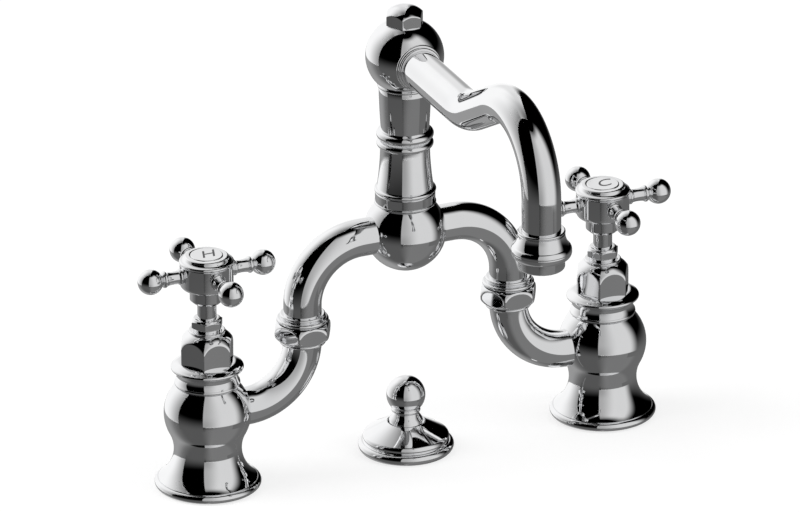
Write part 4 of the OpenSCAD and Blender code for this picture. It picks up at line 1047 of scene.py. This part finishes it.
# Outlet: a turned chromed bell over the end of the tube, with the aerator's short housing screwed
# up into its flare. The insert is a moulded disc with rings of jets, sealed by a rubber washer.
# Heights are from the housing's lower end.
OUTLET_Z = 154.9
BELL_LOW = 5.0
BELL_NECK = 19.2
BELL_R = 14.2
TUBE_POCKET_R = 9.25
TUBE_POCKET_END = 13.0
SHELL_POCKET_R = 10.3
SHELL_POCKET_END = 12.0
bell = turned("flared_outlet", [
    (11.3, BELL_LOW), *bow((11.9, BELL_LOW + 0.2), (BELL_R, 9.0), 0.8, 14),
    *bow((BELL_R, 9.1), (13.3, 11.5), 0.3, 12), *bow((13.1, 11.6), (11.1, 17.4), -0.5, 20),
    *bead(SPOUT_R + 2.0, BELL_NECK - 0.7, 0.7, 16),
    (TUBE_POCKET_R, BELL_NECK), (TUBE_POCKET_R, TUBE_POCKET_END), (SPOUT_BORE_R, TUBE_POCKET_END),
    (SPOUT_BORE_R, SHELL_POCKET_END), (SHELL_POCKET_R, SHELL_POCKET_END),
    (SHELL_POCKET_R, BELL_LOW), (11.3, BELL_LOW)
], (0, -REACH, OUTLET_Z), steps=128)
fitted(bell, "outlet_bell", "spout", chrome)
AERATOR_R = 11.0
SHELL_R = 10.25
SHELL_H = 11.0
SHELL_BORE_R = 8.65
LEDGE_R = 7.55
LEDGE_H = 1
housing = turned("aerator_shell", [
    *bow((AERATOR_R - 1.4, 0), (AERATOR_R, 1.2), 0.4, 8), (AERATOR_R, BELL_LOW),
    (SHELL_R, BELL_LOW), (SHELL_R, SHELL_H), (SHELL_BORE_R, SHELL_H), (SHELL_BORE_R, LEDGE_H),
    (LEDGE_R, LEDGE_H), (LEDGE_R, 0), (AERATOR_R - 1.4, 0)
], (0, -REACH, OUTLET_Z))
fitted(housing, "aerator_housing", "spout", chrome)
in_finish(acetal, "aerator_insert")
in_finish(rubber, "aerator_washer")


# Handle hubs: chromed drums on a short skirt, with a rim bead and a raised ring round the button.
# Broached for the stem's splines; a steel screw inside holds each on its stem.
HANDLE_Z = 93.4
HUB_Z = 100.9
HUB_R = 12.6
HUB_TOP = 113.0
BUTTON_R = 7.7
BUTTON_SEAT = HUB_TOP + 2.4
SKIRT_R = 8.0
SKIRT_FOOT_R = 6.4
BROACH_R = 4.4
BROACH = (94.9, 106.2)
BROACH_MOUTH_R = 4.55
SCREW_R = 2.2
SCREW_HEAD_R = 5.0
SCREW_SEAT = 108.7
hub = turned("hot_drum_hub", [
    (SKIRT_FOOT_R, HANDLE_Z), (SKIRT_R, HANDLE_Z + 1.5), (SKIRT_R, HUB_Z),
    *bow((HUB_R - 2.6, HUB_Z), (HUB_R, HUB_Z + 2.4), 0.8, 12),
    (HUB_R, HUB_TOP - 0.2), (HUB_R - 0.4, HUB_TOP), *bead(HUB_R + 0.3, HUB_TOP + 1, 0.9, 14),
    *bow((HUB_R - 1.0, HUB_TOP + 2.05), (HUB_R - 2.1, HUB_TOP + 3.2), -0.25, 8),
    *arc((HUB_R - 3.05, HUB_TOP + 3.2), 0.95, 0, 84, 10), (BUTTON_R + 0.6, HUB_TOP + 4.3),
    (BUTTON_R + 0.15, HUB_TOP + 4.1), (BUTTON_R + 0.15, BUTTON_SEAT), (SCREW_HEAD_R, BUTTON_SEAT),
    (SCREW_HEAD_R, SCREW_SEAT), (SCREW_R, SCREW_SEAT), (SCREW_R, BROACH[1]), (BROACH_R, BROACH[1]),
    (BROACH_R, BROACH[0]), (BROACH_MOUTH_R, BROACH[0]), (BROACH_MOUTH_R, HANDLE_Z),
    (SKIRT_FOOT_R, HANDLE_Z)
], HOT_AXIS, steps=128)
both_sides(hub, "drum_hub", "handle_hub", TURNING, chrome)
in_finish(steel, "hot_handle_screw", "cold_handle_screw")


# Cross arms: four turned and chromed arms to a handle, each with a root bead, a slightly waisted
# shaft, a ring, a short neck and a ball, and a spigot pressed into the drum.
# The arm is drawn along X, from the handle's axis out.
DRUM_H = 12.1
ARM_Z = HUB_Z + DRUM_H * 0.62
ARM_REACH = 28.6
ARM_BALL_R = 6.05
ARM_NECK_BACK = 5.31
RING_X = ARM_REACH - ARM_BALL_R - 0.9
PEG_R = 2.4
PEG = (8.9, 11.4)
neck_angle = -degrees(asin(ARM_NECK_BACK / ARM_BALL_R))
arm = turned("arm", [
    (0, PEG[0]), (PEG_R, PEG[0]), (PEG_R, PEG[1]), (3.0, PEG[1]),
    *bow((3.4, 12.9), (3.4, 14.5), 0.5, 10), (3.1, 14.8),
    *bow((3.2, 15.0), (3.3, RING_X - 1.5), -0.2, 10), *bead(4.0, RING_X, 1.1, 14),
    *bow((2.75, RING_X + 1.2), (2.9, RING_X + 1.6), -0.05, 3),
    *arc((0, ARM_REACH), ARM_BALL_R, neck_angle, 90, 36)
], (-HALF_SPAN, 0, ARM_Z), along=(1, 0, 0), out=(0, 0, 1), steps=64)
arms = [arm]
middle = (-HALF_SPAN * MM, 0, ARM_Z * MM)
for quarter in (1, 2, 3):
    pick(arm)
    bpy.ops.object.duplicate()
    edit_all()
    bpy.ops.transform.rotate(value=quarter * pi / 2, orient_axis="Z", center_override=middle)
    bpy.ops.object.mode_set(mode="OBJECT")
    arms.append(bpy.context.object)
arms = joined("hot_cross_arms", *arms)
both_sides(arms, "cross_arms", "handle_arms", TURNING, chrome)


# Index buttons: chromed discs pressed flush into the hubs, over the screws.
# Each has a plug that goes down into the screw's pocket.
PLUG_R = 4.95
PLUG_END = 111.4
BUTTON_TOP = HUB_TOP + 4.4
button = turned("hot_index_disc", [
    (0, PLUG_END), (PLUG_R, PLUG_END), (PLUG_R, BUTTON_SEAT), (BUTTON_R, BUTTON_SEAT),
    *bow((BUTTON_R, HUB_TOP + 3.9), (BUTTON_R - 0.6, BUTTON_TOP), 0.2, 8), (0, BUTTON_TOP)
], HOT_AXIS)
both_sides(button, "index_disc", "index_button", TURNING, chrome)


# Index letters: a plain slanted H and C, the black enamel that fills their shallow cuts in the
# discs. It stands 0.04 mm proud, so that it shows.
LETTER_H = 10.5
LETTER_Z = 117.42
LETTER_SLANT = 0.35
LETTER_PROUD = 0.02


def black_enamel():
    """Stoved enamel in the engraved letters: near black, a little uneven."""
    material, tree = new_tree("black_enamel")
    haze = noise(tree, 900, 2)
    finish(tree, two_tones(tree, haze, (0.02, 0.02, 0.022), (0.05, 0.05, 0.054)),
           between(tree, haze, 0.25, 0.4), haze, 0.000004, 0.0)
    return material


enamel = black_enamel()
for side, letter, x in (("hot", "H", -HALF_SPAN), ("cold", "C", HALF_SPAN)):
    bpy.ops.object.text_add(location=(x * MM, 0, LETTER_Z * MM))
    mark = bpy.context.object
    mark.name = side + "_index_letter"
    mark.data.body = letter
    mark.data.size = LETTER_H * MM
    mark.data.shear = LETTER_SLANT
    mark.data.align_x = "CENTER"
    mark.data.align_y = "CENTER"
    mark.data.extrude = LETTER_PROUD * MM
    bpy.ops.object.convert(target="MESH")
    bpy.ops.object.transform_apply(location=True, rotation=True, scale=True)
    mark = bpy.context.object
    mark.data.materials.append(enamel)
    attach(mark, side + "_handle")
    bpy.ops.object.select_all(action="DESELECT")


# Pop-up waste's lift knob: a turned, chromed ball on a flaring neck, screwed on a plain rod.
# The neck's flare eases from the foot's radius in to the waist's.
KNOB_R = 9.2
KNOB_Z = 27.4
KNOB_FOOT = 12.4
ROD_HOLE_R = 2.15
ROD_HOLE_DEEP = 12.4
FLARE_R = 8.07
FLARE_IN = 2.0
FLARE_FOOT = KNOB_FOOT + 1.8
FLARE_UP = 4.56
FLARE_STEPS = 16
flare = []
for i in range(FLARE_STEPS + 1):
    eased = (1 - cos(pi * i / FLARE_STEPS)) / 2
    flare.append((FLARE_R - FLARE_IN * eased, FLARE_FOOT + FLARE_UP * i / FLARE_STEPS))
knob = turned("turned_lift_knob", [
    (0, KNOB_FOOT + ROD_HOLE_DEEP), (ROD_HOLE_R, KNOB_FOOT + ROD_HOLE_DEEP),
    (ROD_HOLE_R, KNOB_FOOT), (5.2, KNOB_FOOT),
    *bow((7.17, KNOB_FOOT), (8.17, KNOB_FOOT + 1.6), 0.4, 10), *flare,
    *bow((6.27, 18.96), (6.47, 20.76), 0.5, 12),
    *arc((0, KNOB_Z), KNOB_R, -degrees(asin(0.7)), 90, 48)
])
fitted(knob, "lift_knob", "lift", chrome)
in_finish(chrome, "lift_rod")


# Rose: a spun, chromed cone with a rounded shoulder and a rolled rim, which hides the hole in
# the deck. The knob's foot rests in its dished top. It screws onto a brass guide bush, which goes
# through the deck and is held from below by a flanged nut.
ROSE_R = 22.6
ROSE_RIM = 4.4
ROSE_H = 12.0
ROSE_HOLE_R = 3.3
DISH_R = 8.6
DISH_LIP = 13.9
SOCKET_R = 7.05
SOCKET_OUT_R = 8.6
SOCKET = (6.0, 9.8)
rim = (ROSE_R - ROSE_RIM / 2, ROSE_RIM / 2)
rose = turned("domed_rose", [
    *bow((ROSE_R - 1.1, 0), (ROSE_R, rim[1]), 0.25, 8), *arc(rim, ROSE_RIM / 2, 0, 90, 12)[1:],
    *arc((18.2, 6.2), 2.2, -40, 60, 16), (DISH_R + 0.5, DISH_LIP - 0.1),
    *bead(DISH_R + 0.4, DISH_LIP - 0.2, 0.2, 4)[2:], (DISH_R, DISH_LIP - 0.2), (DISH_R, ROSE_H),
    (ROSE_HOLE_R, ROSE_H), (ROSE_HOLE_R, SOCKET[1]), (SOCKET_R, SOCKET[1]), (SOCKET_R, SOCKET[0]),
    (SOCKET_OUT_R, SOCKET[0]), (SOCKET_OUT_R, SOCKET[1]),
    *bow((19.0, ROSE_RIM), (SOCKET_OUT_R, SOCKET[1]), 0.3, 14)[::-1], (19.4, 0), (ROSE_R - 1.1, 0)
], steps=128)
fitted(rose, "lift_rose", "root", chrome)
GUIDE_R = 7.0
GUIDE_CORE_R = 6.15
GUIDE_BORE_R = 3.06
GUIDE_FOOT = -41
GUIDE_TOP = 9.5
GUIDE_PITCH = 1.5
SHELF_R = 13
SHELF_H = 2
core = turned("threaded_guide", [
    (GUIDE_BORE_R, GUIDE_FOOT), (GUIDE_CORE_R, GUIDE_FOOT), (GUIDE_CORE_R, 0), (SHELF_R, 0),
    (SHELF_R, SHELF_H), (GUIDE_R, SHELF_H), (GUIDE_R, GUIDE_TOP), (GUIDE_BORE_R, GUIDE_TOP),
    (GUIDE_BORE_R, GUIDE_FOOT)
])
thread = cut_thread("guide_thread", 0, GUIDE_CORE_R, GUIDE_R, GUIDE_PITCH, GUIDE_FOOT, 0)
guide = joined("threaded_guide", core, thread)
fitted(guide, "lift_guide", "root", brass)
under_deck(guide, nodes["lift_guide_nut"])
in_finish(brass, "lift_guide_nut")


# The object's size in the CAD and as dressed here.
size = {"cad": [list(corner) for corner in CAD_BOX], "visual": [list(corner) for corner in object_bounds()]}
